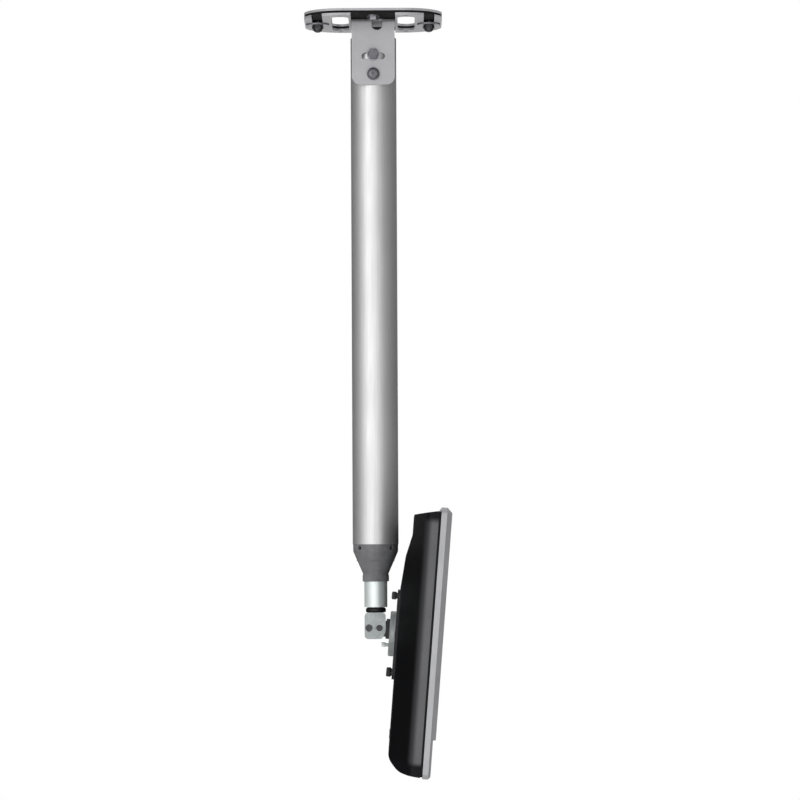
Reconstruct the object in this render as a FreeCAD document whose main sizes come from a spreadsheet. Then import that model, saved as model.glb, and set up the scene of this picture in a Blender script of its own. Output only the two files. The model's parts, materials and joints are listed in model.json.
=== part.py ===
import FreeCAD, Part
import math
import os
import Sketcher
from FreeCAD import Placement, Rotation, Vector

# Display ceiling mount, in millimetres. The origin is on the ceiling, on the pole's axis;
# z is up and the display faces +x. The head and the display are drawn in a frame of their
# own, with its origin on the tilt axis, and are then leaned forward by the tilt at rest.

SIZES = {
    "plate_width": 180.0,        # both plates at the ceiling, along x
    "plate_depth": 172.0,        # and along y
    "plate_corner": 50.0,        # radius of their corners
    "plate_thickness": 3.0,      # plate against the ceiling
    "pad_thickness": 3.0,        # rubber pad between the plates
    "pad_inset": 1.5,            # pad's rim inside the plates' rim
    "sheet_thickness": 3.0,      # folded bracket
    "window_web": 4.0,           # cheeks' side to the cable windows
    "window_width": 22.5,
    "window_end": 20.0,          # plates' edge to the round ends of the windows
    "stud_inset": 17.0,          # plates' side to the weld studs
    "stud_diameter": 8.0,
    "stud_slot": 14.0,           # width of the bracket's open slots for the studs
    "fixing_inset": 11.0,        # plates' edge to the ceiling screw holes
    "fixing_hole": 6.6,          # their diameter
    "pad_screw_inset": 26.0,     # plates' edge to the hexagon screws in the notches
    "cheek_width": 56.0,         # folded cheeks
    "cheek_gap": 61.0,           # clear distance between the cheeks
    "cheek_drop": 93.0,          # ceiling to the cheeks' lower edge
    "bend_radius": 3.0,          # inside of the fold
    "cable_notch": 14.0,         # width of the notch in each fold
    "cable_notch_shift": 5.0,    # its middle from the pole's axis
    "cable_notch_drop": 21.5,    # ceiling to its round end
    "pivot_drop": 79.0,          # ceiling to the pole's tilt axis
    "clamp_rise": 25.7,          # clamp bolt above the tilt axis
    "clamp_swing": 25.0,         # degrees the pole tilts to each side
    "cross_bolt": 8.0,           # cross bolt diameter
    "tube_diameter": 60.0,       # outer tube
    "tube_wall": 2.0,
    "tube_top_drop": 29.0,       # ceiling to the tube's upper end
    "tube_length": 664.0,
    "collar_height": 48.5,       # reducer collar below the tube
    "collar_plug": 40.0,         # and inside it
    "collar_skirt": 9.0,         # its straight upper band
    "collar_mouth": 33.2,        # its lower diameter
    "drop_diameter": 30.0,       # inner tube
    "drop_wall": 2.0,
    "drop_headroom": 19.0,       # pole's tilt axis to the inner tube's upper end
    "drop_exposed": 33.5,        # seen below the collar at rest
    "swivel_height": 7.0,        # black swivel washer
    "knuckle_height": 34.5,
    "knuckle_width": 30.0,       # across, along y
    "knuckle_back": 14.8,        # pole's axis to the back of the fork
    "tilt_back": 8.9,            # tilt axis behind the pole's axis
    "tilt_drop": 20.0,           # tilt axis below the top of the fork
    "lock_reach": 13.4,          # tilt lock bolt from the tilt axis
    "tilt_most": 30.0,           # degrees of lean from upright
    "tilt_rest": 4.5,            # lean in the photo
    "arm_thickness": 12.0,
    "display_reach": 36.84,      # tilt axis to the display's back
    "display_sink": 5.43,        # display plate's centre below the tilt axis
    "flange_side": 26.0,         # square flange of the arm
    "flange_thickness": 4.5,
    "hub_diameter": 59.0,
    "hub_thickness": 7.0,
    "vesa_side": 116.0,
    "vesa_thickness": 3.0,
    "vesa_pitch": 100.0,         # hole pattern in use
    "vesa_small_pitch": 75.0,    # second hole pattern
    "display_width": 372.0,
    "display_top": 167.0,        # above the display plate's centre
    "display_bottom": 176.5,     # below it
    "bezel_back": 45.0,          # display's back to the front frame
    "bezel_depth": 13.5,
    "bezel_side": 17.0,          # front frame beside the screen
    "bezel_top": 12.0,           # and above and below it
    "cover_inset": 3.0,          # back cover inside the front frame's outline
    "cover_wall": 2.5,
    "cover_slope": 103.0,        # sloping side of the back cover, across
    "cover_slope_depth": 28.0,   # and back to front
    "middle_depth": 12.7,        # middle frame, back to front
    "shadow_gap": 3.0,           # between the middle frame and the front frame
    "vent_span": 216.0,          # first to last vent
    "chin_height": 50.0,         # set-back lower part of the front frame
    "chin_step": 3.5,
    "button_pitch": 22.0,
    "power_inset": 56.0,         # display's side to the middle of the power button
    "board_gap": 5.0,            # display's middle to each circuit board
    "board_width": 105.0,
    "board_height": 125.0,
}
MATE = 0.1       # clearance of a fit, on the radius
GAP = 0.2        # between faces that turn on each other
ROUND_END = 0.05  # left straight at the round end of a slot, on each side

os.makedirs("parts", exist_ok=True)
doc = FreeCAD.newDocument("display_ceiling_mount")
sheet = doc.addObject("Spreadsheet::Sheet", "sizes")
for row, (alias, number) in enumerate(SIZES.items(), 1):
    sheet.set(f"A{row}", alias.replace("_", " "))
    sheet.set(f"B{row}", str(number))
    sheet.setAlias(f"B{row}", alias)
doc.recompute()


class Size:
    """A length worked out from the sheet: its number, and the expression that follows the sheet."""

    def __init__(self, value, text):
        self.value = float(value)
        self.text = text

    @staticmethod
    def of(other):
        return other if isinstance(other, Size) else Size(other, repr(float(other)))

    def __add__(self, other):
        other = Size.of(other)
        return Size(self.value + other.value, f"({self.text} + {other.text})")

    def __sub__(self, other):
        other = Size.of(other)
        return Size(self.value - other.value, f"({self.text} - {other.text})")

    def __mul__(self, other):
        other = Size.of(other)
        return Size(self.value * other.value, f"({self.text} * {other.text})")

    def __truediv__(self, other):
        other = Size.of(other)
        return Size(self.value / other.value, f"({self.text} / {other.text})")

    def __neg__(self):
        return Size(-self.value, f"(0 - {self.text})")

    def __radd__(self, other):
        return Size.of(other) + self

    def __rsub__(self, other):
        return Size.of(other) - self

    __rmul__ = __mul__


def sine(angle):
    angle = Size.of(angle)
    return Size(math.sin(math.radians(angle.value)), f"sin({angle.text})")


def cosine(angle):
    angle = Size.of(angle)
    return Size(math.cos(math.radians(angle.value)), f"cos({angle.text})")


def size(alias):
    return Size(SIZES[alias], "sizes." + alias)


def bind(item, name, length):
    """Give a property its number and let it follow the sheet."""
    item.setExpression(name, Size.of(length).text)


# Part primitives and booleans

TURNS = {
    "z": Rotation(),
    "x": Rotation(Vector(0, 1, 0), 90),
    "y": Rotation(Vector(1, 0, 0), -90),
    "-x": Rotation(Vector(0, 1, 0), -90),
    "-y": Rotation(Vector(1, 0, 0), 90),
}


def place(item, at, turn=Rotation()):
    at = [Size.of(c) for c in at]
    item.Placement = Placement(Vector(*[c.value for c in at]), turn)
    for axis, c in zip("xyz", at):
        bind(item, "Placement.Base." + axis, c)
    return item


def cylinder(radius, length, at, along="z"):
    item = doc.addObject("Part::Cylinder", "cylinder")
    bind(item, "Radius", radius)
    bind(item, "Height", length)
    return place(item, at, TURNS[along])


def box(sides, at):
    item = doc.addObject("Part::Box", "box")
    for name, side in zip(("Length", "Width", "Height"), sides):
        bind(item, name, side)
    return place(item, at)


def fuse(*items):
    item = doc.addObject("Part::MultiFuse", "fuse")
    item.Shapes = list(items)
    item.Refine = True
    return item


def cut(base, *tools):
    item = doc.addObject("Part::Cut", "cut")
    item.Base = base
    item.Tool = tools[0] if len(tools) == 1 else fuse(*tools)
    item.Refine = True
    return item


def tube(outer, inner, length, at, along="z"):
    return cut(cylinder(outer, length, at, along), cylinder(inner, length, at, along))


def mirrored(source, normal, at=(0, 0, 0)):
    item = doc.addObject("Part::Mirroring", "mirrored")
    item.Source = source
    item.Normal = Vector(*normal)
    for axis, c in zip("xyz", at):
        bind(item, "Base." + axis, c)
    return item


def group(*items):
    item = doc.addObject("Part::Compound", "group")
    item.Links = list(items)
    return item


# Bodies from sketches

def new_body():
    return doc.addObject("PartDesign::Body", "body")


def origin_part(body, role):
    return [o for o in body.Origin.OriginFeatures if o.Role == role][0]


def sketch_on(body, plane, offset=0.0):
    """A sketch on one of the body's own planes, moved along the plane's normal."""
    sketch = body.newObject("Sketcher::SketchObject", "sketch")
    sketch.AttachmentSupport = (origin_part(body, plane + "_Plane"), [""])
    sketch.MapMode = "FlatFace"
    offset = Size.of(offset)
    sketch.AttachmentOffset = Placement(Vector(0, 0, offset.value), Rotation())
    bind(sketch, "AttachmentOffset.Base.z", offset)
    return sketch


def hold(sketch, kind, geometry, point, length):
    """Fix one coordinate of a point from the sketch's origin, or a radius."""
    length = Size.of(length)
    if kind == "Radius":
        constraint = Sketcher.Constraint(kind, geometry, length.value)
    else:
        constraint = Sketcher.Constraint(kind, -1, 1, geometry, point, length.value)
    number = sketch.addConstraint(constraint)
    bind(sketch, f"Constraints[{number}]", length)


def polygon(sketch, corners):
    corners = [(Size.of(u), Size.of(v)) for u, v in corners]
    first = sketch.GeometryCount
    count = len(corners)
    for k in range(count):
        start, end = corners[k], corners[(k + 1) % count]
        line = Part.LineSegment(Vector(start[0].value, start[1].value, 0),
                                Vector(end[0].value, end[1].value, 0))
        sketch.addGeometry(line, False)
    for k in range(count):
        after = first + (k + 1) % count
        sketch.addConstraint(Sketcher.Constraint("Coincident", first + k, 2, after, 1))
    for k, (u, v) in enumerate(corners):
        hold(sketch, "DistanceX", first + k, 1, u)
        hold(sketch, "DistanceY", first + k, 1, v)


def rectangle(sketch, left, right, low, high):
    polygon(sketch, [(left, low), (right, low), (right, high), (left, high)])


def hexagon(sketch, across, u=0.0, v=0.0):
    reach = Size.of(across) / math.sqrt(3)
    turns = [math.radians(60 * k) for k in range(6)]
    polygon(sketch, [(u + reach * math.cos(a), v + reach * math.sin(a)) for a in turns])


def circle(sketch, radius, u=0.0, v=0.0):
    u, v, radius = Size.of(u), Size.of(v), Size.of(radius)
    number = sketch.addGeometry(
        Part.Circle(Vector(u.value, v.value, 0), Vector(0, 0, 1), radius.value), False)
    hold(sketch, "Radius", number, 0, radius)
    hold(sketch, "DistanceX", number, 3, u)
    hold(sketch, "DistanceY", number, 3, v)


def arc_slot(sketch, v, radius, half, start, stop, kind):
    """A slot bent round the point (0, v), its ends at two angles held by one coordinate each."""
    v, radius, half = Size.of(v), Size.of(radius), Size.of(half)
    centre = Vector(0, v.value, 0)
    turns = [math.radians(Size.of(a).value) for a in (start, stop)]
    up = Vector(0, 0, 1)
    first = sketch.GeometryCount
    for r in (radius.value + half.value, radius.value - half.value):
        sketch.addGeometry(Part.ArcOfCircle(Part.Circle(centre, up, r), *turns), False)
    ends = [centre + Vector(math.cos(a), math.sin(a), 0) * radius.value for a in turns]
    for end, a in zip(ends, (turns[0] - math.pi, turns[1])):
        cap = Part.ArcOfCircle(Part.Circle(end, up, half.value), a, a + math.pi)
        sketch.addGeometry(cap, False)
    outer, inner, low_cap, high_cap = range(first, first + 4)
    hold(sketch, "DistanceX", outer, 3, 0.0)
    hold(sketch, "DistanceY", outer, 3, v)
    hold(sketch, "Radius", outer, 0, radius + half)
    sketch.addConstraint(Sketcher.Constraint("Coincident", inner, 3, outer, 3))
    hold(sketch, "Radius", inner, 0, radius - half)
    for ring, end, cap, cap_end in ((inner, 1, low_cap, 1), (outer, 1, low_cap, 2),
                                    (outer, 2, high_cap, 1), (inner, 2, high_cap, 2)):
        sketch.addConstraint(Sketcher.Constraint("Tangent", ring, end, cap, cap_end))
    for cap, angle in ((low_cap, start), (high_cap, stop)):
        along = radius * (cosine(angle) if kind == "DistanceX" else sine(angle))
        hold(sketch, kind, cap, 3, along if kind == "DistanceX" else v + along)


def feature(body, kind, sketch, length=None, both=False, back=False):
    """A pad or a pocket of a sketch. A pocket without a length goes through everything."""
    item = body.newObject("PartDesign::" + kind, kind.lower())
    item.Profile = sketch
    item.SideType = "Symmetric" if both else "One side"
    item.Reversed = back
    if length is None:
        length = 4000.0
    bind(item, "Length", length)
    sketch.Visibility = False
    doc.recompute()
    return item


def revolve(body, corners, plane="XZ", axis="V_Axis", at=0.0):
    """Turn a closed profile of radii and heights round one axis of its sketch."""
    sketch = sketch_on(body, plane, at)
    polygon(sketch, corners)
    item = body.newObject("PartDesign::Revolution", "revolution")
    item.Profile = sketch
    item.ReferenceAxis = (sketch, [axis])
    item.Angle = 360
    doc.recompute()
    return item


def soften(body, kind, length, test):
    """A fillet or a chamfer on every edge of the body's last feature that passes the test."""
    base = body.Tip
    edges = [f"Edge{k}" for k, edge in enumerate(base.Shape.Edges, 1) if test(edge)]
    item = body.newObject("PartDesign::" + kind, kind.lower())
    item.Base = (base, edges)
    bind(item, "Radius" if kind == "Fillet" else "Size", length)
    doc.recompute()
    return item


def runs_along(edge, axis):
    ends = [v.Point for v in edge.Vertexes]
    if len(ends) < 2 or edge.Curve.TypeId != "Part::GeomLine":
        return False
    way = ends[1] - ends[0]
    return abs(getattr(way, axis)) > 0.999 * way.Length


def near(number, length):
    return abs(number - Size.of(length).value) < 1e-4


def middle(edge):
    return edge.BoundBox.Center


PARTS = []


def keep(item, label):
    item.Label = label
    PARTS.append(item)
    return item


# Levels below the ceiling, and the head's own frame

bracket_top = -(size("plate_thickness") + size("pad_thickness"))
bracket_under = bracket_top - size("sheet_thickness")
half_plate = size("plate_width") / 2
half_depth = size("plate_depth") / 2
stud_x = half_plate - size("stud_inset")
stud_radius = size("stud_diameter") / 2
pad_screw_y = half_depth - size("pad_screw_inset")
half_cheek = size("cheek_width") / 2
pivot_level = -size("pivot_drop")
clamp_level = pivot_level + size("clamp_rise")
tube_end = -(size("tube_top_drop") + size("tube_length"))
collar_end = tube_end - size("collar_height")
drop_end = collar_end - size("drop_exposed")
knuckle_top = drop_end - size("swivel_height")
tilt_level = knuckle_top - size("tilt_drop")

tube_radius = size("tube_diameter") / 2
tube_bore = tube_radius - size("tube_wall")
drop_radius = size("drop_diameter") / 2
bolt_radius = size("cross_bolt") / 2

back = size("display_reach")
centre = -size("display_sink")
half_pitch = size("vesa_pitch") / 2


def keep_in_head(item, label):
    """Lean a piece that was drawn in the head's own frame."""
    turn = Rotation(Vector(0, 1, 0), SIZES["tilt_rest"])
    place(item, (-size("tilt_back"), 0.0, tilt_level), turn)
    bind(item, "Placement.Rotation.Angle", size("tilt_rest"))
    return keep(item, label)


# Ceiling plate, pad and folded bracket

def ceiling_sheet(inset, thickness, under):
    """A sheet with large round corners, the two cable windows and the ceiling screw holes."""
    body = new_body()
    outline = sketch_on(body, "XY", under)
    rectangle(outline, inset - half_plate, half_plate - inset, inset - half_depth, half_depth - inset)
    feature(body, "Pad", outline, thickness)
    soften(body, "Fillet", size("plate_corner") - inset, lambda e: runs_along(e, "z"))
    inner_side = half_cheek + size("window_web")
    outer_side = inner_side + size("window_width")
    window_half = half_depth - size("window_end")
    fixing_y = half_depth - size("fixing_inset")
    holes = sketch_on(body, "XY")
    for side in (1, -1):
        rectangle(holes, side * inner_side, side * outer_side, -window_half, window_half)
        for end in (1, -1):
            circle(holes, size("fixing_hole") / 2, side * (inner_side + outer_side) / 2, end * fixing_y)
    feature(body, "Pocket", holes, both=True)
    soften(body, "Fillet", size("window_width") / 2 - ROUND_END,
           lambda e: runs_along(e, "z") and near(abs(middle(e).y), window_half))
    return body


stud_washer = 2.0
nut_height = 5.0
ceiling_plate = ceiling_sheet(0.0, size("plate_thickness"), -size("plate_thickness"))
taps = sketch_on(ceiling_plate, "XY")
for end in (1, -1):
    circle(taps, stud_radius + MATE, 0.0, end * pad_screw_y)
feature(ceiling_plate, "Pocket", taps, both=True)
studs = sketch_on(ceiling_plate, "XY", -size("plate_thickness"))
for side in (1, -1):
    circle(studs, stud_radius, side * stud_x)
stud_length = -bracket_under - size("plate_thickness") + stud_washer + nut_height + 1.0
feature(ceiling_plate, "Pad", studs, stud_length, back=True)
keep(ceiling_plate, "ceiling_plate")

pad = ceiling_sheet(size("pad_inset"), size("pad_thickness"), bracket_top)
pad_holes = sketch_on(pad, "XY")
for end in (1, -1):
    circle(pad_holes, stud_radius + GAP, 0.0, end * pad_screw_y)
    circle(pad_holes, stud_radius + GAP, end * stud_x)
feature(pad, "Pocket", pad_holes, both=True)
keep(pad, "isolation_pad")

# The bracket hooks on the studs with two slots that are open to the near side
bracket = ceiling_sheet(0.0, size("sheet_thickness"), bracket_under)
half_slot = size("stud_slot") / 2
slots = sketch_on(bracket, "XY")
for side in (1, -1):
    rectangle(slots, side * stud_x - half_slot, side * stud_x + half_slot, -half_depth, half_slot)
feature(bracket, "Pocket", slots, both=True)
soften(bracket, "Fillet", half_slot - ROUND_END,
       lambda e: runs_along(e, "z") and near(middle(e).y, half_slot))
inside = size("cheek_gap")
outside = inside + size("sheet_thickness") * 2
cheek_end = -size("cheek_drop")
block = sketch_on(bracket, "XZ")
rectangle(block, -half_cheek, half_cheek, cheek_end, bracket_top)
feature(bracket, "Pad", block, outside, both=True)
space = sketch_on(bracket, "XZ")
rectangle(space, -(half_cheek + 1.0), half_cheek + 1.0, cheek_end - 1.0, bracket_under)
feature(bracket, "Pocket", space, inside, both=True)
notches = sketch_on(bracket, "XY")
relief = half_cheek + 1.0
for end in (1, -1):
    fold, root, rim = end * outside / 2, end * (outside / 2 - 8.0), end * (half_depth + 2.0)
    polygon(notches, [(-relief, root), (-half_cheek, root), (-half_cheek, fold), (half_cheek, fold),
                      (half_cheek, root), (relief, root), (relief, rim), (-relief, rim)])
feature(bracket, "Pocket", notches, both=True)
soften(bracket, "Fillet", size("bend_radius"), lambda e: runs_along(e, "x") and (
    near(middle(e).z, bracket_under) and near(abs(middle(e).y), inside / 2)))
soften(bracket, "Fillet", size("bend_radius") + size("sheet_thickness") - 0.2,
       lambda e: runs_along(e, "x") and (
           near(middle(e).z, bracket_top) and near(abs(middle(e).y), outside / 2)))
soften(bracket, "Fillet", 11.0, lambda e: runs_along(e, "y") and near(middle(e).z, cheek_end))
cheek_cuts = sketch_on(bracket, "XZ")
circle(cheek_cuts, bolt_radius + MATE, 0.0, pivot_level)
arc_slot(cheek_cuts, pivot_level, size("clamp_rise"), bolt_radius + GAP,
         90.0 - size("clamp_swing") - 1.0, 90.0 + size("clamp_swing") + 1.0, "DistanceX")
feature(bracket, "Pocket", cheek_cuts, both=True)
half_notch = size("cable_notch") / 2
notch_end = -size("cable_notch_drop")
cable_notches = sketch_on(bracket, "XY", notch_end)
for end in (1, -1):
    rectangle(cable_notches, size("cable_notch_shift") - half_notch, size("cable_notch_shift") + half_notch,
              end * (inside / 2 - size("bend_radius")), end * (outside / 2 + 1.0))
feature(bracket, "Pocket", cable_notches, -notch_end, back=True)
soften(bracket, "Fillet", half_notch - 1.0,
       lambda e: runs_along(e, "y") and near(middle(e).z, notch_end))
keep(bracket, "pole_bracket")


# Fasteners of the ceiling group

def washer(outer, inner, thickness, at, along="z"):
    return tube(outer, inner, thickness, at, along)


washer_under = bracket_under - stud_washer
one_washer = washer(15.0, stud_radius + GAP, stud_washer, (stud_x, 0.0, washer_under))
keep(group(one_washer, mirrored(one_washer, (1, 0, 0))), "stud_washers")

nut = new_body()
nut_hex = sketch_on(nut, "XY")
hexagon(nut_hex, 13.0)
feature(nut, "Pad", nut_hex, nut_height, back=True)
revolve(nut, [(0, -nut_height), (6.2, -nut_height), (5.6, -nut_height - 2.2),
              (4.0, -nut_height - 3.7), (2.0, -nut_height - 4.3), (0, -nut_height - 4.5)])
nut_bore = sketch_on(nut, "XY")
circle(nut_bore, stud_radius + MATE)
feature(nut, "Pocket", nut_bore, nut_height + 1.5)
place(nut, (stud_x, 0.0, washer_under))
keep(group(nut, mirrored(nut, (1, 0, 0))), "dome_nuts")

screw = new_body()
screw_hex = sketch_on(screw, "XY")
hexagon(screw_hex, 13.0)
feature(screw, "Pad", screw_hex, 6.5, back=True)
revolve(screw, [(0, -2.0), (8.5, -2.0), (8.5, 0), (stud_radius, 0),
                (stud_radius, -bracket_top), (0, -bracket_top)])
soften(screw, "Fillet", 1.0, lambda e: near(middle(e).z, -6.5))
place(screw, (0.0, pad_screw_y, bracket_top))
keep(group(screw, mirrored(screw, (0, 1, 0))), "pad_screws")

# Outer tube with its cross bolts

outer_tube = cut(
    cylinder(tube_radius, size("tube_length"), (0, 0, tube_end)),
    cylinder(tube_bore, size("tube_length"), (0, 0, tube_end)),
    cylinder(bolt_radius + GAP, 80.0, (0, -40.0, pivot_level), "y"),
    cylinder(bolt_radius + GAP, 80.0, (0, -40.0, clamp_level), "y"))
keep(outer_tube, "outer_tube")

washer_height = 1.6
cheek_face = outside / 2 + MATE
bolt_reach = cheek_face * 2 + washer_height * 2 + 10.0
seat = -(cheek_face + washer_height)

pivot_bolt = new_body()
revolve(pivot_bolt, [(0, -bolt_reach), (bolt_radius, -bolt_reach), (bolt_radius, 0), (8.0, 0),
                     (8.0, 1.6), (7.2, 3.2), (5.2, 4.6), (3.4, 5.0), (0, 5.0)])
key = sketch_on(pivot_bolt, "XY", 5.0)
hexagon(key, 5.0)
feature(pivot_bolt, "Pocket", key, 3.0)
place(pivot_bolt, (0, seat, pivot_level), TURNS["-y"])
keep(pivot_bolt, "pivot_bolt")

clamp_bolt = new_body()
clamp_hex = sketch_on(clamp_bolt, "XY")
hexagon(clamp_hex, 13.0)
feature(clamp_bolt, "Pad", clamp_hex, 5.3)
revolve(clamp_bolt, [(0, -bolt_reach), (bolt_radius, -bolt_reach), (bolt_radius, 0), (0, 0)])
soften(clamp_bolt, "Fillet", 0.8, lambda e: near(middle(e).z, 5.3))
place(clamp_bolt, (0, seat, clamp_level), TURNS["-y"])
keep(clamp_bolt, "clamp_bolt")

near_washers = [washer(8.5, bolt_radius + MATE, washer_height, (0, seat, level), "y")
                for level in (pivot_level, clamp_level)]
keep(group(*near_washers, *[mirrored(w, (0, 1, 0)) for w in near_washers]), "cheek_washers")


def lock_nut(level):
    body = new_body()
    flats = sketch_on(body, "XY")
    hexagon(flats, 13.0)
    feature(body, "Pad", flats, 6.0)
    revolve(body, [(0, 6.0), (5.6, 6.0), (5.2, 8.0), (0, 8.0)])
    bore = sketch_on(body, "XY")
    circle(bore, bolt_radius + MATE)
    feature(body, "Pocket", bore, 20.0, back=True)
    return place(body, (0, -seat, level), TURNS["y"])


keep(group(lock_nut(pivot_level), lock_nut(clamp_level)), "cross_nuts")

spacer_length = tube_bore * 2 - 2.0
keep(group(*[tube(7.0, bolt_radius + GAP, spacer_length, (0, -spacer_length / 2, level), "y")
             for level in (pivot_level, clamp_level)]), "bolt_spacers")

# Reducer collar with its set screws

collar = new_body()
skirt_radius = tube_radius - 0.6
mouth = size("collar_mouth") / 2
skirt_end = tube_end - size("collar_skirt")
cone_end = collar_end + 11.5
bead = skirt_end - (size("collar_height") - size("collar_skirt") - 11.5) * 0.44
cone_slope = (skirt_radius - mouth - 0.6) / (size("collar_height") - size("collar_skirt") - 11.5)
bead_radius = skirt_radius - (skirt_end - bead) * cone_slope
bore = drop_radius + MATE
revolve(collar, [
    (bore, tube_end + size("collar_plug")), (tube_bore - MATE, tube_end + size("collar_plug")),
    (tube_bore - MATE, tube_end), (skirt_radius, tube_end), (skirt_radius, skirt_end),
    (bead_radius + 0.5, bead + 1.0), (bead_radius + 0.9, bead), (bead_radius - 0.4, bead - 1.0),
    (mouth + 0.6, cone_end), (mouth, cone_end - 2.0), (mouth, collar_end), (bore, collar_end)])
soften(collar, "Fillet", 2.5, lambda e: near(middle(e).z, skirt_end))
set_level = tube_end - 4.6
screw_ways = [Rotation(Vector(0, 0, 1), 45 + 90 * k) * TURNS["x"] for k in range(4)]
holes = []
for way in screw_ways:
    hole = cylinder(3.0 + MATE, 40.0, (0, 0, set_level))
    hole.Placement = Placement(hole.Placement.Base, way)
    bind(hole, "Placement.Base.z", set_level)
    holes.append(hole)
keep(cut(collar, *holes), "reducer_collar")


def set_screw(way):
    """A set screw that points at the pole's axis, its hexagon socket outwards."""
    body = new_body()
    rod = sketch_on(body, "XY", drop_radius + GAP)
    circle(rod, 3.0)
    feature(body, "Pad", rod, skirt_radius - drop_radius - 2.0)
    socket = sketch_on(body, "XY", skirt_radius + GAP - 2.0)
    hexagon(socket, 3.0)
    feature(body, "Pocket", socket, 3.0)
    return place(body, (0, 0, set_level), way)


keep(group(*[set_screw(way) for way in screw_ways]), "collar_screws")

# Inner tube with its slide bush, end plug and swivel washer

drop_top = pivot_level - size("drop_headroom")
drop_length = drop_top - drop_end
drop_bore = drop_radius - size("drop_wall")
pin_level = drop_top - 15.0
keep(cut(cylinder(drop_radius, drop_length, (0, 0, drop_end)),
         cylinder(drop_bore, drop_length, (0, 0, drop_end)),
         cylinder(2.0 + MATE, 80.0, (-40.0, 0, pin_level), "x")), "inner_tube")

bush = new_body()
bush_radius = tube_bore - GAP
revolve(bush, [
    (drop_bore - 1.0, drop_top), (drop_radius + MATE, drop_top), (drop_radius + MATE, drop_top - 30.0),
    (bush_radius - 1.0, drop_top - 30.0), (bush_radius, drop_top - 29.0),
    (bush_radius, drop_top - 22.0), (bush_radius - 6.0, drop_top - 20.0),
    (bush_radius - 6.0, drop_top - 8.0), (bush_radius, drop_top - 6.0), (bush_radius, drop_top + 2.0),
    (bush_radius - 1.0, drop_top + 3.0), (drop_bore - 1.0, drop_top + 3.0)])
keep(cut(bush, cylinder(2.0 + MATE, 80.0, (-40.0, 0, pin_level), "x")), "guide_bush")
pin_half = bush_radius - 6.0
keep(cylinder(2.0, pin_half * 2, (-pin_half, 0, pin_level), "x"), "bush_pin")

plug_height = 25.0
swivel_radius = 4.0
keep(tube(drop_bore - MATE, swivel_radius + MATE, plug_height, (0, 0, drop_end)), "end_plug")
keep(tube(13.2, swivel_radius + MATE, size("swivel_height") - GAP,
          (0, 0, knuckle_top + GAP)), "swivel_washer")

# Cast fork: sides, web over the arm, and an end face round the tilt axis

fork = new_body()
fork_back = -size("knuckle_back")
fork_end = knuckle_top - size("knuckle_height")
nose = size("display_reach") - size("vesa_thickness") - GAP - size("hub_thickness")
nose = nose - size("flange_thickness") - 0.5
nose_front = nose - size("tilt_back")
profile = sketch_on(fork, "XZ")
rectangle(profile, fork_back, nose_front, fork_end, knuckle_top)
feature(fork, "Pad", profile, size("knuckle_width"), both=True)
soften(fork, "Fillet", 5.0, lambda e: runs_along(e, "y") and (
    near(middle(e).z, knuckle_top) or near(middle(e).x, fork_back)))
half_arm = size("arm_thickness") / 2
web_end = tilt_level + 12.0
channel = sketch_on(fork, "XZ")
rectangle(channel, fork_back - 1.0, nose_front + 1.0, fork_end - 1.0, web_end)
feature(fork, "Pocket", channel, size("arm_thickness") + 0.6, both=True)
swivel_tap = sketch_on(fork, "XY", knuckle_top)
circle(swivel_tap, swivel_radius + MATE)
feature(fork, "Pocket", swivel_tap, size("tilt_drop") - 11.0)
lock_front = size("lock_reach") - size("tilt_back")
across = sketch_on(fork, "XZ")
circle(across, 3.0 + MATE, -size("tilt_back"), tilt_level)
circle(across, 2.5 + MATE, lock_front, tilt_level)
feature(fork, "Pocket", across, both=True)
half_fork = size("knuckle_width") / 2
heads = sketch_on(fork, "XZ", half_fork)
circle(heads, 4.8, -size("tilt_back"), tilt_level)
circle(heads, 4.3, lock_front, tilt_level)
feature(fork, "Pocket", heads, 4.5)
swing = cylinder(nose, 60.0, (-size("tilt_back"), -30.0, tilt_level), "y")
lower_front = box((60.0, 60.0, 60.0), (-size("tilt_back"), -30.0, tilt_level - 60.0))
keep(cut(fork, cut(lower_front, swing)), "knuckle")

swivel_bolt = new_body()
plug_top = drop_end + plug_height
swivel_seat = plug_top + MATE
revolve(swivel_bolt, [
    (0, swivel_seat), (swivel_radius, swivel_seat), (6.5, swivel_seat), (6.5, swivel_seat + 7.0),
    (5.9, swivel_seat + 8.0), (0, swivel_seat + 8.0)])
shank = sketch_on(swivel_bolt, "XY", swivel_seat)
circle(shank, swivel_radius)
feature(swivel_bolt, "Pad", shank, swivel_seat - knuckle_top + 8.0, back=True)
keep(swivel_bolt, "swivel_bolt")


def cap_screw(radius, head, key_size, front, label):
    """A cap screw across the fork, its head sunk in the near side."""
    body = new_body()
    length = size("knuckle_width") - 4.5
    revolve(body, [(0, -length), (radius, -length), (radius, 0), (head, 0),
                   (head, 3.9), (head - 0.5, 4.4), (0, 4.4)])
    socket = sketch_on(body, "XY", 4.4)
    hexagon(socket, key_size)
    feature(body, "Pocket", socket, 3.0)
    place(body, (front, 4.5 - half_fork, tilt_level), TURNS["-y"])
    keep(body, label)


cap_screw(3.0, 4.6, 5.0, -size("tilt_back"), "tilt_pivot_bolt")
cap_screw(2.5, 4.1, 4.0, lock_front, "tilt_lock_bolt")

# Tilt arm, hub and axle, in the head's frame

hub_front = back - size("vesa_thickness") - GAP
hub_back = hub_front - size("hub_thickness")
flange_back = hub_back - size("flange_thickness")

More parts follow.
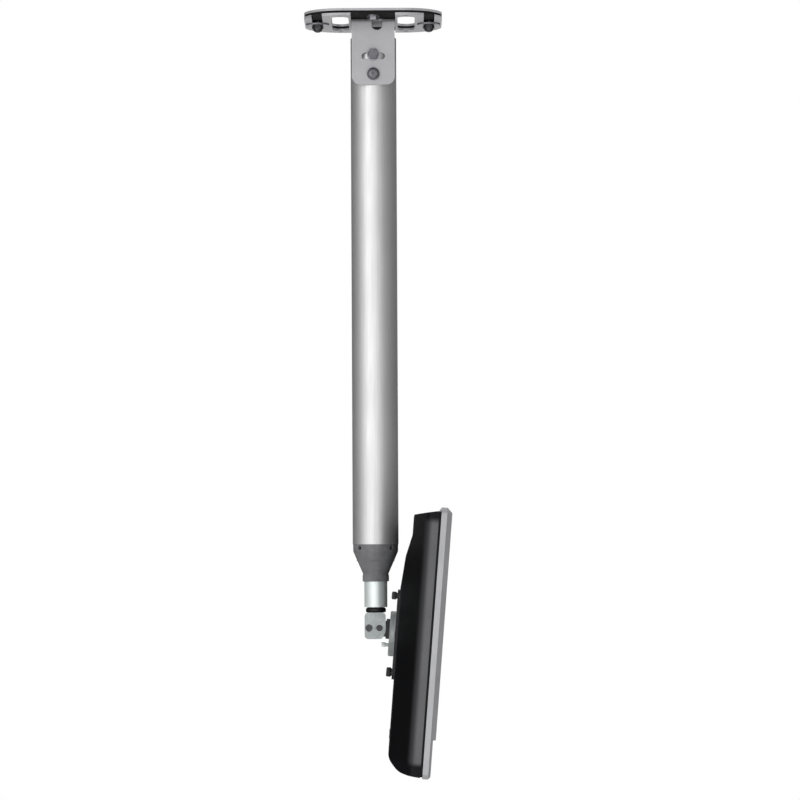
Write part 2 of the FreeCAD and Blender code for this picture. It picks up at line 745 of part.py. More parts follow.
arm = new_body()
eye = sketch_on(arm, "XZ")
circle(eye, 5.5)
feature(arm, "Pad", eye, size("arm_thickness"), both=True)
tongue = sketch_on(arm, "XZ")
polygon(tongue, [(0.0, 5.5), (8.0, 11.0), (flange_back + 1.0, 11.0), (flange_back + 1.0, -10.0),
                 (8.0, -10.0), (0.0, -5.5)])
feature(arm, "Pad", tongue, size("arm_thickness"), both=True)
flange = sketch_on(arm, "YZ", flange_back)
half_flange = size("flange_side") / 2
flange_rise = centre + 6.0
rectangle(flange, -half_flange, half_flange, flange_rise - half_flange, flange_rise + half_flange)
feature(arm, "Pad", flange, size("flange_thickness"))
soften(arm, "Fillet", 3.0, lambda e: runs_along(e, "x") and near(abs(middle(e).y), half_flange))
arm_cuts = sketch_on(arm, "XZ")
circle(arm_cuts, 3.0 + MATE)
arc_slot(arm_cuts, 0.0, size("lock_reach"), 2.5 + GAP, -1.0, size("tilt_most") + 1.0, "DistanceY")
feature(arm, "Pocket", arm_cuts, both=True)
axle_radius = 3.0
arm_screw_up = flange_rise + 8.0
taps = sketch_on(arm, "YZ", hub_back)
circle(taps, axle_radius + MATE, 0.0, centre)
for side in (1, -1):
    circle(taps, 2.0 + MATE, side * 9.0, arm_screw_up)
feature(arm, "Pocket", taps, size("flange_thickness") + 2.0)
keep_in_head(arm, "tilt_arm")

lock_down = centre - 15.0
hub = new_body()
disc = sketch_on(hub, "YZ", hub_back)
circle(disc, size("hub_diameter") / 2, 0.0, centre)
feature(hub, "Pad", disc, size("hub_thickness"))
soften(hub, "Chamfer", 1.2, lambda e: near(middle(e).x, hub_back))
through = sketch_on(hub, "YZ", hub_front)
circle(through, axle_radius + MATE, 0.0, centre)
circle(through, 2.5 + MATE, 0.0, lock_down)
for side in (1, -1):
    circle(through, 2.0 + MATE, side * 9.0, arm_screw_up)
feature(hub, "Pocket", through, size("hub_thickness") + 1.0)
sinks = sketch_on(hub, "YZ", hub_front)
for side in (1, -1):
    circle(sinks, 4.2, side * 9.0, arm_screw_up)
feature(hub, "Pocket", sinks, 3.0)
keep_in_head(hub, "hub_disc")

one_arm_screw = fuse(
    cylinder(4.0, 2.6, (hub_front - 3.0, 9.0, arm_screw_up), "x"),
    cylinder(2.0, size("hub_thickness") - 3.0 + size("flange_thickness"),
             (hub_back - size("flange_thickness"), 9.0, arm_screw_up), "x"))
keep_in_head(group(one_arm_screw, mirrored(one_arm_screw, (0, 1, 0))), "arm_screws")

axle_seat = back - 1.5 + MATE
axle = fuse(cylinder(7.0, 1.2, (axle_seat, 0.0, centre), "x"),
            cylinder(axle_radius, axle_seat + 0.5 - flange_back,
                     (flange_back, 0.0, centre), "x"))
keep_in_head(axle, "axle_bolt")

lock_screw = fuse(cylinder(2.5, size("hub_thickness") - 0.5, (hub_back, 0.0, lock_down), "x"),
                  cylinder(3.1, 9.0, (hub_back, 0.0, lock_down), "-x"))
keep_in_head(lock_screw, "rotation_lock_screw")

# Display plate and thumb screws

vesa_back = back - size("vesa_thickness")
half_vesa = size("vesa_side") / 2
vesa = new_body()
square = sketch_on(vesa, "YZ", vesa_back)
rectangle(square, -half_vesa, half_vesa, centre - half_vesa, centre + half_vesa)
feature(vesa, "Pad", square, size("vesa_thickness"))
soften(vesa, "Fillet", 8.0, lambda e: runs_along(e, "x"))
drill = sketch_on(vesa, "YZ", vesa_back)
circle(drill, axle_radius + MATE, 0.0, centre)
for half in (half_pitch, size("vesa_small_pitch") / 2):
    for side in (1, -1):
        for end in (1, -1):
            circle(drill, 2.3, side * half, centre + end * half)
feature(vesa, "Pocket", drill, back=True)
sink = sketch_on(vesa, "YZ", back)
circle(sink, 7.0 + GAP, 0.0, centre)
feature(vesa, "Pocket", sink, 1.5)
keep_in_head(vesa, "vesa_plate")

knob_length = 7.5
one_knob = fuse(
    cylinder(3.4, 1.2, (vesa_back - 1.2, half_pitch, centre + half_pitch), "x"),
    cylinder(4.7, knob_length - 1.2, (vesa_back - knob_length, half_pitch, centre + half_pitch), "x"),
    cylinder(2.0, size("vesa_thickness") + 10.0, (vesa_back, half_pitch, centre + half_pitch), "x"))
pair = group(one_knob, mirrored(one_knob, (0, 1, 0)))
keep_in_head(group(pair, mirrored(pair, (0, 0, 1), (0, 0, centre))), "vesa_screws")

# Display: back cover and middle frame, drawn as one shell and parted where they meet

cover_front = back + size("bezel_back")
shell_front = cover_front - size("shadow_gap")
half_cover = size("display_width") / 2 - size("cover_inset")
cover_top = centre + size("display_top") - 5.0
cover_bottom = centre - size("display_bottom") + 1.5
wall = size("cover_wall")

cover = new_body()
side_view = sketch_on(cover, "XZ")
polygon(side_view, [
    (shell_front, cover_top), (back + 11.0, cover_top - 6.0), (back + 11.0, cover_top - 30.5),
    (back + 4.0, cover_top - 59.5), (back, cover_top - 102.5), (back, cover_bottom + 16.5),
    (back + 14.0, cover_bottom + 3.0), (shell_front, cover_bottom)])
feature(cover, "Pad", side_view, half_cover * 2, both=True)
slopes = sketch_on(cover, "XY")
slope_front = back + size("cover_slope_depth")
for side in (1, -1):
    polygon(slopes, [(back, side * (half_cover - size("cover_slope"))), (slope_front, side * half_cover),
                     (slope_front, side * (half_cover + 2.0)), (back, side * (half_cover + 2.0))])
feature(cover, "Pocket", slopes, both=True)
soften(cover, "Fillet", 18.0, lambda e: runs_along(e, "y") and (
    near(middle(e).x, back + 14.0) or near(middle(e).z, cover_bottom + 16.5)))
soften(cover, "Fillet", 9.0, lambda e: runs_along(e, "z") and (
    near(abs(middle(e).y), half_cover) and near(middle(e).x, slope_front)))
hollow = cover.newObject("PartDesign::Thickness", "thickness")
base = cover.Group[-2]
front_faces = [f"Face{k}" for k, face in enumerate(base.Shape.Faces, 1)
               if near(face.CenterOfMass.x, shell_front)]
hollow.Base = (base, front_faces)
bind(hollow, "Value", wall)
hollow.Reversed = True
hollow.Join = "Intersection"
doc.recompute()
rim = sketch_on(cover, "YZ", shell_front - 1.0)
for step in (1.5, 5.0):
    rectangle(rim, step - half_cover, half_cover - step, cover_bottom + step, cover_top - step)
feature(cover, "Pad", rim, 4.0)
vent = sketch_on(cover, "YZ", back + 2.0)
half_vent = 1.5
vent_start = -size("vent_span") / 2
rectangle(vent, vent_start - half_vent, vent_start + half_vent, cover_top - 28.0, cover_top - 11.0)
vent_cut = feature(cover, "Pocket", vent, 14.0, back=True)
vents = cover.newObject("PartDesign::LinearPattern", "vents")
vents.Originals = [vent_cut]
vents.Direction = (origin_part(cover, "Y_Axis"), [""])
bind(vents, "Length", size("vent_span"))
vents.Occurrences = 25
cover.Tip = vents
doc.recompute()
back_cuts = sketch_on(cover, "YZ", back - 1.0)
for side in (1, -1):
    for end in (1, -1):
        circle(back_cuts, 2.4, side * half_pitch, centre + end * half_pitch)
# Each socket: its middle, its width and its height
SOCKETS = {"power_inlet": (34.0, 28.0, 20.0), "video_port": (-30.0, 39.0, 12.5)}
socket_level = centre - size("board_height") + 16.0
for across_back, wide, tall in SOCKETS.values():
    half_wide, half_tall = wide / 2 + GAP, tall / 2 + GAP
    rectangle(back_cuts, across_back - half_wide, across_back + half_wide,
              socket_level - half_tall, socket_level + half_tall)
feature(cover, "Pocket", back_cuts, 12.0, back=True)
parting = shell_front - size("middle_depth")
front_block = box((cover_front - parting, half_cover * 2, cover_top - cover_bottom),
                  (parting, -half_cover, cover_bottom))
keep_in_head(cut(cover, front_block), "rear_cover")
middle_frame = doc.addObject("Part::Common", "common")
middle_frame.Base = cover
middle_frame.Tool = front_block
keep_in_head(middle_frame, "middle_frame")

# Display: front frame with its set-back lower part

bezel_front = cover_front + size("bezel_depth")
half_width = size("display_width") / 2
top, bottom = centre + size("display_top"), centre - size("display_bottom")
chin_top = bottom + size("chin_height")
lip_back = bezel_front - 4.5
chin_front = bezel_front - size("chin_step")

bezel = new_body()
frame_face = sketch_on(bezel, "YZ", cover_front)
rectangle(frame_face, -half_width, half_width, bottom, top)
feature(bezel, "Pad", frame_face, size("bezel_depth"))
soften(bezel, "Fillet", 9.0, lambda e: runs_along(e, "x"))
soften(bezel, "Chamfer", 6.5, lambda e: near(middle(e).x, bezel_front))
step = sketch_on(bezel, "YZ", chin_front)
rectangle(step, -half_width - 1.0, half_width + 1.0, bottom - 1.0, chin_top)
feature(bezel, "Pocket", step, 10.0, back=True)
screen_middle = (top + chin_top) / 2
half_screen = (top - chin_top) / 2 - size("bezel_top")
half_screen_width = half_width - size("bezel_side")
opening = sketch_on(bezel, "YZ", cover_front)
rectangle(opening, -half_screen_width, half_screen_width,
          screen_middle - half_screen, screen_middle + half_screen)
feature(bezel, "Pocket", opening, back=True)
soften(bezel, "Chamfer", 2.0, lambda e: near(middle(e).x, bezel_front) and (
    abs(middle(e).y) < half_width.value - 8.0 and abs(middle(e).z - screen_middle.value)
    < half_screen.value + 1.0))
hollow_face = sketch_on(bezel, "YZ", cover_front)
rectangle(hollow_face, 4.0 - half_width, half_width - 4.0, chin_top + 5.0, top - 4.0)
feature(bezel, "Pocket", hollow_face, lip_back - cover_front, back=True)
chin_face = sketch_on(bezel, "YZ", cover_front)
rectangle(chin_face, 3.0 - half_width, half_width - 3.0, bottom + 3.0, chin_top)
feature(bezel, "Pocket", chin_face, chin_front - 2.5 - cover_front, back=True)

button_level = bottom + 21.0
power_spot = half_width - size("power_inset")
last_menu_spot = power_spot - size("button_pitch") - 12.0
button_spots = {f"menu_button_{k}": last_menu_spot - size("button_pitch") * (4 - k) for k in range(1, 5)}
button_spots["power_button"] = power_spot
button_holes = sketch_on(bezel, "YZ", cover_front)
for label, across_front in button_spots.items():
    half_button = 9.3 if label == "power_button" else 7.3
    rectangle(button_holes, across_front - half_button, across_front + half_button,
              button_level - 3.3, button_level + 3.3)
feature(bezel, "Pocket", button_holes, back=True)
keep_in_head(bezel, "front_bezel")

for label, across_front in button_spots.items():
    half_button = 9.0 if label == "power_button" else 7.0
    button = new_body()
    cap = sketch_on(button, "YZ", chin_front - 4.0)
    rectangle(cap, across_front - half_button, across_front + half_button,
              button_level - 3.0, button_level + 3.0)
    feature(button, "Pad", cap, 5.0)
    soften(button, "Fillet", 0.8, lambda e: near(middle(e).x, chin_front + 1.0))
    lip = sketch_on(button, "YZ", chin_front - 4.0)
    rectangle(lip, across_front - half_button - 1.2, across_front + half_button + 1.2,
              button_level - 4.2, button_level + 4.2)
    feature(button, "Pad", lip, 1.3)
    keep_in_head(button, label)

# Display: what it holds inside

panel_depth = 8.5
panel_back = lip_back - panel_depth
half_panel = half_screen + 6.0
panel = new_body()
panel_face = sketch_on(panel, "YZ", panel_back)
half_panel_width = half_screen_width + 7.0
rectangle(panel_face, -half_panel_width, half_panel_width,
          screen_middle - half_panel, screen_middle + half_panel)
feature(panel, "Pad", panel_face, panel_depth)
keep_in_head(panel, "lcd_panel")

chassis_back = panel_back - 1.2
inner_back = back + wall
board_front = chassis_back - 12.0
board_left = size("board_gap")
board_right = board_left + size("board_width")
board_low = centre - size("board_height")
sheet_inset = 7.0
sheet_low = screen_middle - half_screen + sheet_inset
board_spots = [(side * y, z) for side in (1, -1) for y in (board_left + 9.0, board_right - 8.0)
               for z in (centre - 14.0, sheet_low + 11.0)]
screw_spots = [(side * half_pitch, centre + end * half_pitch) for side in (1, -1) for end in (1, -1)]
posts = [cylinder(5.0, chassis_back - inner_back, (inner_back, y, z), "x") for y, z in screw_spots]
posts += [cylinder(3.0, chassis_back - board_front, (board_front, y, z), "x") for y, z in board_spots]
threads = [cylinder(2.0 + MATE, 16.0, (inner_back, y, z), "x") for y, z in screw_spots]
plate = box((1.2, (half_screen_width - sheet_inset) * 2, (half_screen - sheet_inset) * 2),
            (chassis_back, sheet_inset - half_screen_width, sheet_low))
keep_in_head(cut(fuse(plate, *posts), *threads), "panel_chassis")

board_thickness = 1.6
board_back = board_front - board_thickness
for label, side in (("main_board", -1), ("power_board", 1)):
    left = board_left if side > 0 else -board_right
    board = box((board_thickness, size("board_width"), size("board_height")), (board_back, left, board_low))
    clear = cylinder(6.5, 10.0, (board_back - 4.0, side * half_pitch, centre - half_pitch), "x")
    keep_in_head(cut(board, clear), label)

socket_back = back + 1.0
socket_wall = 2.0
for label, (across_back, wide, tall) in SOCKETS.items():
    left, low = across_back - wide / 2, socket_level - tall / 2
    block = box((board_back - socket_back, wide, tall), (socket_back, left, low))
    mouth_cut = box((13.0, wide - socket_wall * 2, tall - socket_wall * 2),
                    (socket_back, left + socket_wall, low + socket_wall))
    keep_in_head(cut(block, mouth_cut), label)

# Check every object, then write the files

doc.recompute()
for item in doc.Objects:
    if "Invalid" in item.State or "Error" in item.State:
        raise RuntimeError(f"{item.Name} {item.Label} is {item.State}")
for item in PARTS:
    shape = item.Shape
    if shape.isNull() or not shape.isValid() or not shape.Solids:
        raise RuntimeError(f"{item.Label} has no valid solid")
    shape.exportStep(f"parts/{item.Label}.step")
    bounds = shape.BoundBox
    print(f"{item.Label}: {len(shape.Solids)} solids, x {bounds.XMin:.1f} {bounds.XMax:.1f}, "
          f"y {bounds.YMin:.1f} {bounds.YMax:.1f}, z {bounds.ZMin:.1f} {bounds.ZMax:.1f}, "
          f"volume {shape.Volume / 1000:.2f} cm3")
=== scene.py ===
# %% [markdown]
# # A display that hangs from the ceiling
#
# The object is a flat display on a telescopic pole. Two folded cheeks under the ceiling plates
# hold the pole, and a small cast head under the narrow tube lets the display swivel, tilt and
# turn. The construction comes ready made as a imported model, the frame. This lesson gives the
# frame its looks: a camera that stands where the photograph was taken, soft light, a finish for
# every piece, and a few finely worked pieces that are too small for the construction drawing.

# %% Load the frame
import json
import math

import bpy
import numpy as np
from mathutils import Matrix, Vector


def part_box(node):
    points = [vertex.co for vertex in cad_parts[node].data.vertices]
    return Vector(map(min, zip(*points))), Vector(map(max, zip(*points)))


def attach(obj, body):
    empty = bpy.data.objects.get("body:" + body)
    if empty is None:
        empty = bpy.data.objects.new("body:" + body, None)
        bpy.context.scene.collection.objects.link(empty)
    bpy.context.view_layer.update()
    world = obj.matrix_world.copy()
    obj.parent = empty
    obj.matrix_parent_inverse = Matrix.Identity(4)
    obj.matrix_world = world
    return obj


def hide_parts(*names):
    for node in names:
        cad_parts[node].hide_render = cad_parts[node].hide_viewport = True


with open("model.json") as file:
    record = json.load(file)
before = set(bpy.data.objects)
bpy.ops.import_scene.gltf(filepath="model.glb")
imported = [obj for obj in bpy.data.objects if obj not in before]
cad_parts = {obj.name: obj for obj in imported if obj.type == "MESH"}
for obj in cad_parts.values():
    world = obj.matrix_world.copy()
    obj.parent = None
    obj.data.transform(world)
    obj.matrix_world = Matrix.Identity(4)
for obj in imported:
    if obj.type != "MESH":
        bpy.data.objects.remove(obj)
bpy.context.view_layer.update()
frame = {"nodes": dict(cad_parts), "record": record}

nodes = frame["nodes"]

# %% [markdown]
# ## Camera
#
# The photograph was taken from far away with a long lens: the ceiling plates are seen a little
# from below, and the display exactly from its side. The distance follows from how deep the
# plates look, and the scale from the wide tube, which is 60 mm across and covers 46 of the 800
# pixels. The picture is also turned by about a quarter of a degree, so the camera rolls by that.
# One function aims the camera here and the lamps later.

# %% Place the camera
MM = 0.001
PICTURE = 800                          # pixels along each side of the photograph
PIXEL = 1.31 * MM                      # one pixel of the photograph, at the pole
POLE_AT_MIDDLE = 374.97                # column of the pole's axis, half way down the picture
CEILING_ROW = 15.1                     # row of the ceiling at the pole
HORIZON_ROW = 560.0                    # row at the height of the lens
DISTANCE = 5.1                         # lens to pole, in metres
ROLL = math.radians(-0.28)
SENSOR = 36.0                          # width of the film, in millimetres


def looking(spot, aim):
    """The matrix of a camera or lamp that stands at spot and looks at aim."""
    spot, aim = Vector(spot), Vector(aim)
    return Matrix.Translation(spot) @ (aim - spot).to_track_quat("-Z", "Y").to_matrix().to_4x4()


half_picture = PICTURE / 2
target = Vector(((half_picture - POLE_AT_MIDDLE) * PIXEL, 0.0, (CEILING_ROW - half_picture) * PIXEL))
lens_point = Vector((target.x, -DISTANCE, (CEILING_ROW - HORIZON_ROW) * PIXEL))
camera_data = bpy.data.cameras.new("camera")
camera_data.sensor_width = SENSOR
camera_data.lens = SENSOR * (target - lens_point).length / (PICTURE * PIXEL)
camera = bpy.data.objects.new("camera", camera_data)
bpy.context.scene.collection.objects.link(camera)
camera.matrix_world = looking(lens_point, target) @ Matrix.Rotation(ROLL, 4, "Z")
bpy.context.scene.camera = camera
print("lens", round(camera_data.lens, 1), "mm, at", tuple(round(c, 3) for c in lens_point))

# %% [markdown]
# ## Colour helper and node helper
#
# Colours are written as the hex values a picture editor shows. Shaders compute with linear
# light, so one function converts them. A second small function adds a shader node, sets its
# properties and inputs, and links it, which keeps every material to a few readable lines.

# %% Two helpers
def linear(hex_colour):
    """sRGB hex to linear RGBA, with the standard's straight piece near black and power 2.4 above."""
    srgb = np.array([int(hex_colour[i:i + 2], 16) for i in (1, 3, 5)]) / 255
    light = np.where(srgb <= 0.04045, srgb / 12.92, ((srgb + 0.055) / 1.055) ** 2.4)
    return (*light.tolist(), 1.0)


def add(material, kind, settings=(), links=(), **inputs):
    """Add a node. settings are its properties, inputs its socket values, links (socket, source)."""
    tree = material.node_tree
    node = tree.nodes.new("ShaderNode" + kind)
    for name, value in dict(settings).items():
        setattr(node, name, value)
    for name, value in inputs.items():
        node.inputs[name.replace("_", " ")].default_value = value
    for socket, source in links:
        tree.links.new(source, node.inputs[socket])
    return node


print("white is", linear("#FFFFFF"))

# %% [markdown]
# ## Studio
#
# The background of the photograph is plain white. The world is white for the rays that the
# camera, a mirror or a glass sends out, and gives only a soft grey light to everything else, so
# the object keeps its shading. The floor does the same for the most part, and the rest of it
# takes the shadow. Soft lamps stand in front, the strongest on the left, because the light
# streak on the tube is left of its middle, and others hang high on the other sides. Dark
# screens on both sides, which only reflections meet, give bright metal its dark edges, as in a
# photo studio.

# %% World
SOFT_LIGHT = 0.36                      # the world's strength for light that bounces
world = bpy.data.worlds.new("studio")
bpy.context.scene.world = world
world.use_nodes = True


def seen_directly(owner):
    """1 for a ray that the camera, a mirror or a glass sends out, and 0 for light that bounces."""
    path = add(owner, "LightPath")
    mirror = add(owner, "Math", {"operation": "MAXIMUM"},
                 [(0, path.outputs["Is Camera Ray"]), (1, path.outputs["Is Glossy Ray"])])
    return add(owner, "Math", {"operation": "MAXIMUM"},
               [(0, mirror.outputs[0]), (1, path.outputs["Is Transmission Ray"])]).outputs[0]


sky = world.node_tree.nodes["Background"]
level = add(world, "MapRange", (), [("Value", seen_directly(world))], To_Min=SOFT_LIGHT, To_Max=1.0)
world.node_tree.links.new(level.outputs["Result"], sky.inputs["Strength"])
sky.inputs["Color"].default_value = linear("#FFFFFF")
bpy.context.scene.view_settings.view_transform = "Standard"
print("world strength for soft light:", SOFT_LIGHT)


# %% Floor
def panel(name, middle, across, up, colour, roughness):
    """A flat matt sheet whose corners are its middle plus or minus two half-side vectors."""
    middle, across, up = np.array(middle), np.array(across), np.array(up)
    corners = [(middle + x * across + y * up).tolist() for x, y in ((-1, -1), (1, -1), (1, 1), (-1, 1))]
    mesh = bpy.data.meshes.new(name)
    mesh.from_pydata(corners, [], [(0, 1, 2, 3)])
    paint = bpy.data.materials.new(name + "_paint")
    paint.use_nodes = True
    shader = paint.node_tree.nodes["Principled BSDF"]
    shader.inputs["Base Color"].default_value = linear(colour)
    shader.inputs["Roughness"].default_value = roughness
    mesh.materials.append(paint)
    item = bpy.data.objects.new(name, mesh)
    bpy.context.scene.collection.objects.link(item)
    return item


FLOOR_LEVEL, FLOOR_HALF = -2.4, 12     # metres
FLOOR_WHITE = 0.85                     # share of plain white in a floor that is seen directly
floor = panel("studio_floor", (0, 0, FLOOR_LEVEL), (FLOOR_HALF, 0, 0), (0, FLOOR_HALF, 0), "#F0F0EE", 0.9)
paint = floor.data.materials[0]
share = add(paint, "MapRange", (), [("Value", seen_directly(paint))], To_Max=FLOOR_WHITE)
white = add(paint, "Emission", Color=linear("#FFFFFF"), Strength=1.0)
bright = add(paint, "MixShader", (), [(0, share.outputs[0]), (2, white.outputs[0]),
                                      (1, paint.node_tree.nodes["Principled BSDF"].outputs[0])])
paint.node_tree.links.new(bright.outputs[0], paint.node_tree.nodes["Material Output"].inputs["Surface"])
print("floor at", FLOOR_LEVEL, "m")

# %% Dark screens
# All stand equally far from the pole, at one height. Each row: the side on which a screen stands,
# its near and far end in metres of depth, and its grey.
SIDE_AWAY, SIDE_LEVEL, SIDE_HALF = 1.5, -0.4, 1.9
SIDE_SCREENS = {"screen_left_front": (-1, -0.3, 1.4, "#606060"),
                "screen_left_rear": (-1, 1.4, 6.0, "#0A0A0A"),
                "screen_right_front": (1, -3.0, 0.2, "#6E6E6E"),
                "screen_right_rear": (1, 0.2, 5.0, "#2A2A2A")}
for name, (side, near_end, far_end, grey) in SIDE_SCREENS.items():
    screen = panel(name, (side * SIDE_AWAY, (near_end + far_end) / 2, SIDE_LEVEL),
                   (0, (far_end - near_end) / 2, 0), (0, 0, SIDE_HALF), grey, 1.0)
    screen.visible_camera = screen.visible_diffuse = screen.visible_shadow = False

# %% Lamps
LAMPS_AIM = (0.0, 0.0, -0.5)           # about the middle of the object


def soft_lamp(name, spot, size, watts, mirrored=True):
    """A square area lamp that looks at the middle of the object. Shiny faces show it if mirrored."""
    lamp = bpy.data.lights.new(name, "AREA")
    lamp.size = size
    lamp.energy = watts
    item = bpy.data.objects.new(name, lamp)
    bpy.context.scene.collection.objects.link(item)
    item.matrix_world = looking(spot, LAMPS_AIM)
    item.visible_glossy = mirrored


# Each lamp: its place and size in metres, and its watts.
soft_lamp("key_lamp", (-1.4, -2.9, -0.1), 2.5, 50)
soft_lamp("fill_lamp", (1.4, -3.0, -1.0), 1.8, 30)
soft_lamp("low_lamp", (0.1, -2.2, -2.1), 0.9, 6)
# These three light the display's front, its back and the far side. No shiny face shows them.
soft_lamp("front_lamp", (2.6, 0.9, 1.2), 1.6, 95, mirrored=False)
soft_lamp("back_lamp", (-2.6, 0.6, 1.5), 1.6, 40, mirrored=False)
soft_lamp("far_lamp", (0.4, 2.8, 1.5), 1.6, 40, mirrored=False)

# %% [markdown]
# ## The head's own directions
#
# The display leans a little, so what belongs to the head is worked out in the head's own
# millimetres: forward, to the right and up from the tilt axis. The frame's joints say where that
# axis is and which way the display faces, and one function carries points from there to the
# shared frame.

# %% From the head's millimetres to the frame
joints = {joint["name"]: joint for joint in frame["record"]["behaviour"]["joints"]}
tilt_axis = np.array(joints["display_tilt"]["pos_m"])
forward = np.array(joints["display_rotate"]["axis"])
right = np.array([0.0, 1.0, 0.0])
upward = np.cross(forward, right)
plate_centre = (np.array(joints["display_rotate"]["pos_m"]) - tilt_axis) / MM
BACK = float(plate_centre @ forward)
CENTRE = float(plate_centre @ upward)


def in_head(points):
    """forward, right and up in millimetres from the tilt axis, to metres in the shared frame."""
    return tilt_axis + np.asarray(points) @ np.array([forward, right, upward]) * MM


print("from the tilt axis to the display's back:", round(BACK, 2), "mm")
print("from the tilt axis up to the centre of its plate:", round(CENTRE, 2), "mm")

# %% [markdown]
# ## Finishes
#
# Every finish starts from the real material and the way its surface was made. The helper below
# makes the common part: a fine grain that moves the colour, the roughness and the bump together,
# and wide soft clouds that keep a large face from looking like flat paint. Both sizes are given
# in millimetres. The grain of a real moulding or coating is often finer than a pixel, so it is
# drawn as coarse as it needs to show, and the lines below say so. Two smaller helpers come first,
# for colours that fade along a direction and for edges that are rubbed bare.

# %% Fades and worn edges
WORN_WIDTH = 0.6                       # how far a rubbed edge reaches, in millimetres


# On the housing, fades lay painted light and shade.
def faded(material, tint, where, fades):
    """Lay colours over tint. Each of fades, (direction, colour, full, none), thins out between two
    distances in millimetres, measured from the tilt axis along the direction."""
    for direction, fade_colour, full, none in fades:
        along = add(material, "VectorMath", {"operation": "DOT_PRODUCT"}, [(0, where.outputs["Object"])])
        along.inputs[1].default_value = direction
        start = float(tilt_axis @ direction)
        thin = add(material, "MapRange", {"interpolation_type": "SMOOTHSTEP"},
                   [("Value", along.outputs["Value"])],
                   From_Min=start + full * MM, From_Max=start + none * MM, To_Min=1.0, To_Max=0.0)
        tint = add(material, "MixRGB", (),
                   [("Fac", thin.outputs["Result"]), ("Color1", tint.outputs["Color"])],
                   Color2=linear(fade_colour))
    return tint


def rubbed(material, tint, grain, bare):
    """Let the bare colour under a coat through at edges: where a normal that is rounded over
    WORN_WIDTH turns away from the face's own, in patches that follow the grain."""
    rounded = add(material, "Bevel", {"samples": 6}, Radius=WORN_WIDTH * MM)
    face = add(material, "NewGeometry")
    agree = add(material, "VectorMath", {"operation": "DOT_PRODUCT"},
                [(0, rounded.outputs["Normal"]), (1, face.outputs["Normal"])])
    edge = add(material, "MapRange", (), [("Value", agree.outputs["Value"])],
               From_Min=0.97, From_Max=0.75, To_Min=0.0, To_Max=1.2)
    patchy = add(material, "Math", {"operation": "MULTIPLY", "use_clamp": True},
                 [(0, edge.outputs["Result"]), (1, grain.outputs["Fac"])])
    return add(material, "MixRGB", (),
               [("Fac", patchy.outputs[0]), ("Color1", tint.outputs["Color"])],
               Color2=linear(bare))


print("worn edges are", WORN_WIDTH, "mm wide")


# %% A finish with grain and clouds
def finish(name, colour, shade, roughness, metallic=0.0, grain_mm=1.0, relief_mm=0.05, spread=0.06,
           stretch=(1, 1, 1), cloud_mm=40.0, clouds=0.12, specular=0.5, worn=None, fades=()):
    """Grain noise mixes colour with shade, moves the roughness by spread and lifts a bump of
    relief_mm. Slow noise of cloud_mm then mixes a share of shade over it. Over that lie the fades,
    and with worn, a colour, edges rub through."""
    material = bpy.data.materials.new(name)
    material.use_nodes = True
    shader = material.node_tree.nodes["Principled BSDF"]
    where = add(material, "TexCoord")
    lay = add(material, "Mapping", (), [("Vector", where.outputs["Object"])], Scale=stretch)
    grain = add(material, "TexNoise", (), [("Vector", lay.outputs["Vector"])],
                Scale=1.0 / (grain_mm * MM), Detail=3.0, Roughness=0.55)
    cloud = add(material, "TexNoise", (), [("Vector", where.outputs["Object"])],
                Scale=1.0 / (cloud_mm * MM), Detail=2.0)
    tint = add(material, "MixRGB", (), [("Fac", grain.outputs["Fac"])],
               Color1=linear(colour), Color2=linear(shade))
    share = add(material, "MapRange", (), [("Value", cloud.outputs["Fac"])],
                From_Min=0.35, From_Max=0.65, To_Min=0.0, To_Max=clouds)
    tint = add(material, "MixRGB", {"blend_type": "MULTIPLY"},
               [("Fac", share.outputs["Result"]), ("Color1", tint.outputs["Color"])],
               Color2=linear(shade))
    tint = faded(material, tint, where, fades)
    if worn:
        tint = rubbed(material, tint, grain, worn)
    rough = add(material, "MapRange", (), [("Value", grain.outputs["Fac"])],
                From_Min=0.3, From_Max=0.7, To_Min=roughness - spread, To_Max=roughness + spread)
    bump = add(material, "Bump", (), [("Height", grain.outputs["Fac"])], Strength=1.0,
               Distance=relief_mm * MM)
    links = material.node_tree.links
    links.new(tint.outputs["Color"], shader.inputs["Base Color"])
    links.new(rough.outputs["Result"], shader.inputs["Roughness"])
    links.new(bump.outputs["Normal"], shader.inputs["Normal"])
    shader.inputs["Metallic"].default_value = metallic
    shader.inputs["Specular IOR Level"].default_value = specular
    return material


def dress(material, *names):
    """Give CAD nodes one finish."""
    for name in names:
        nodes[name].data.materials.clear()
        nodes[name].data.materials.append(material)
    print(material.name, "on", ", ".join(names))
    return material


# %% [markdown]
# ## Metal finishes
#
# The plates and the bracket are folded sheet steel with a silver-grey powder coat, which melts
# into a faint orange peel. The wide tube is extruded aluminium: brushing and anodising leave it
# satin, with fine lines along its length. The narrow tube is bright zinc-plated steel with a
# soft sheen. The head is die cast, and its skin is a little uneven. Bolts are darkened by oxide.
# A grey with a high metallic value would do for a bolt seen from afar, but a large plain face
# then looks like plastic, so each metal gets the marks of how it was made.

# %% Sheet metal, tubes and castings
# A silver-grey coat with an orange peel of 1 to 2 mm, drawn a little deeper than real.
dress(finish("powder_coated_steel", "#A6A5A7", "#96959A", 0.46, 0.25, grain_mm=1.4,
             relief_mm=0.06, worn="#C4C4C6"), "ceiling_plate", "pole_bracket")
# Satin metal with drawn lines. Real lines are 0.1 mm apart: these are 0.7 mm, so that they show.
dress(finish("satin_anodised_aluminium", "#C8C8C8", "#B2B2B3", 0.52, 0.85, grain_mm=0.7,
             relief_mm=0.008, spread=0.07, stretch=(1, 1, 0.012), cloud_mm=90.0, clouds=0.08), "outer_tube")
# A bright plated tube with a cold tint and faint polishing lines round it.
bright_plate = dress(finish("bright_zinc_plated_steel", "#DCE2E1", "#CCD4D3", 0.46, 0.45, grain_mm=0.8,
                            relief_mm=0.002, spread=0.02, stretch=(0.1, 0.1, 1.0), clouds=0.05),
                     "inner_tube")
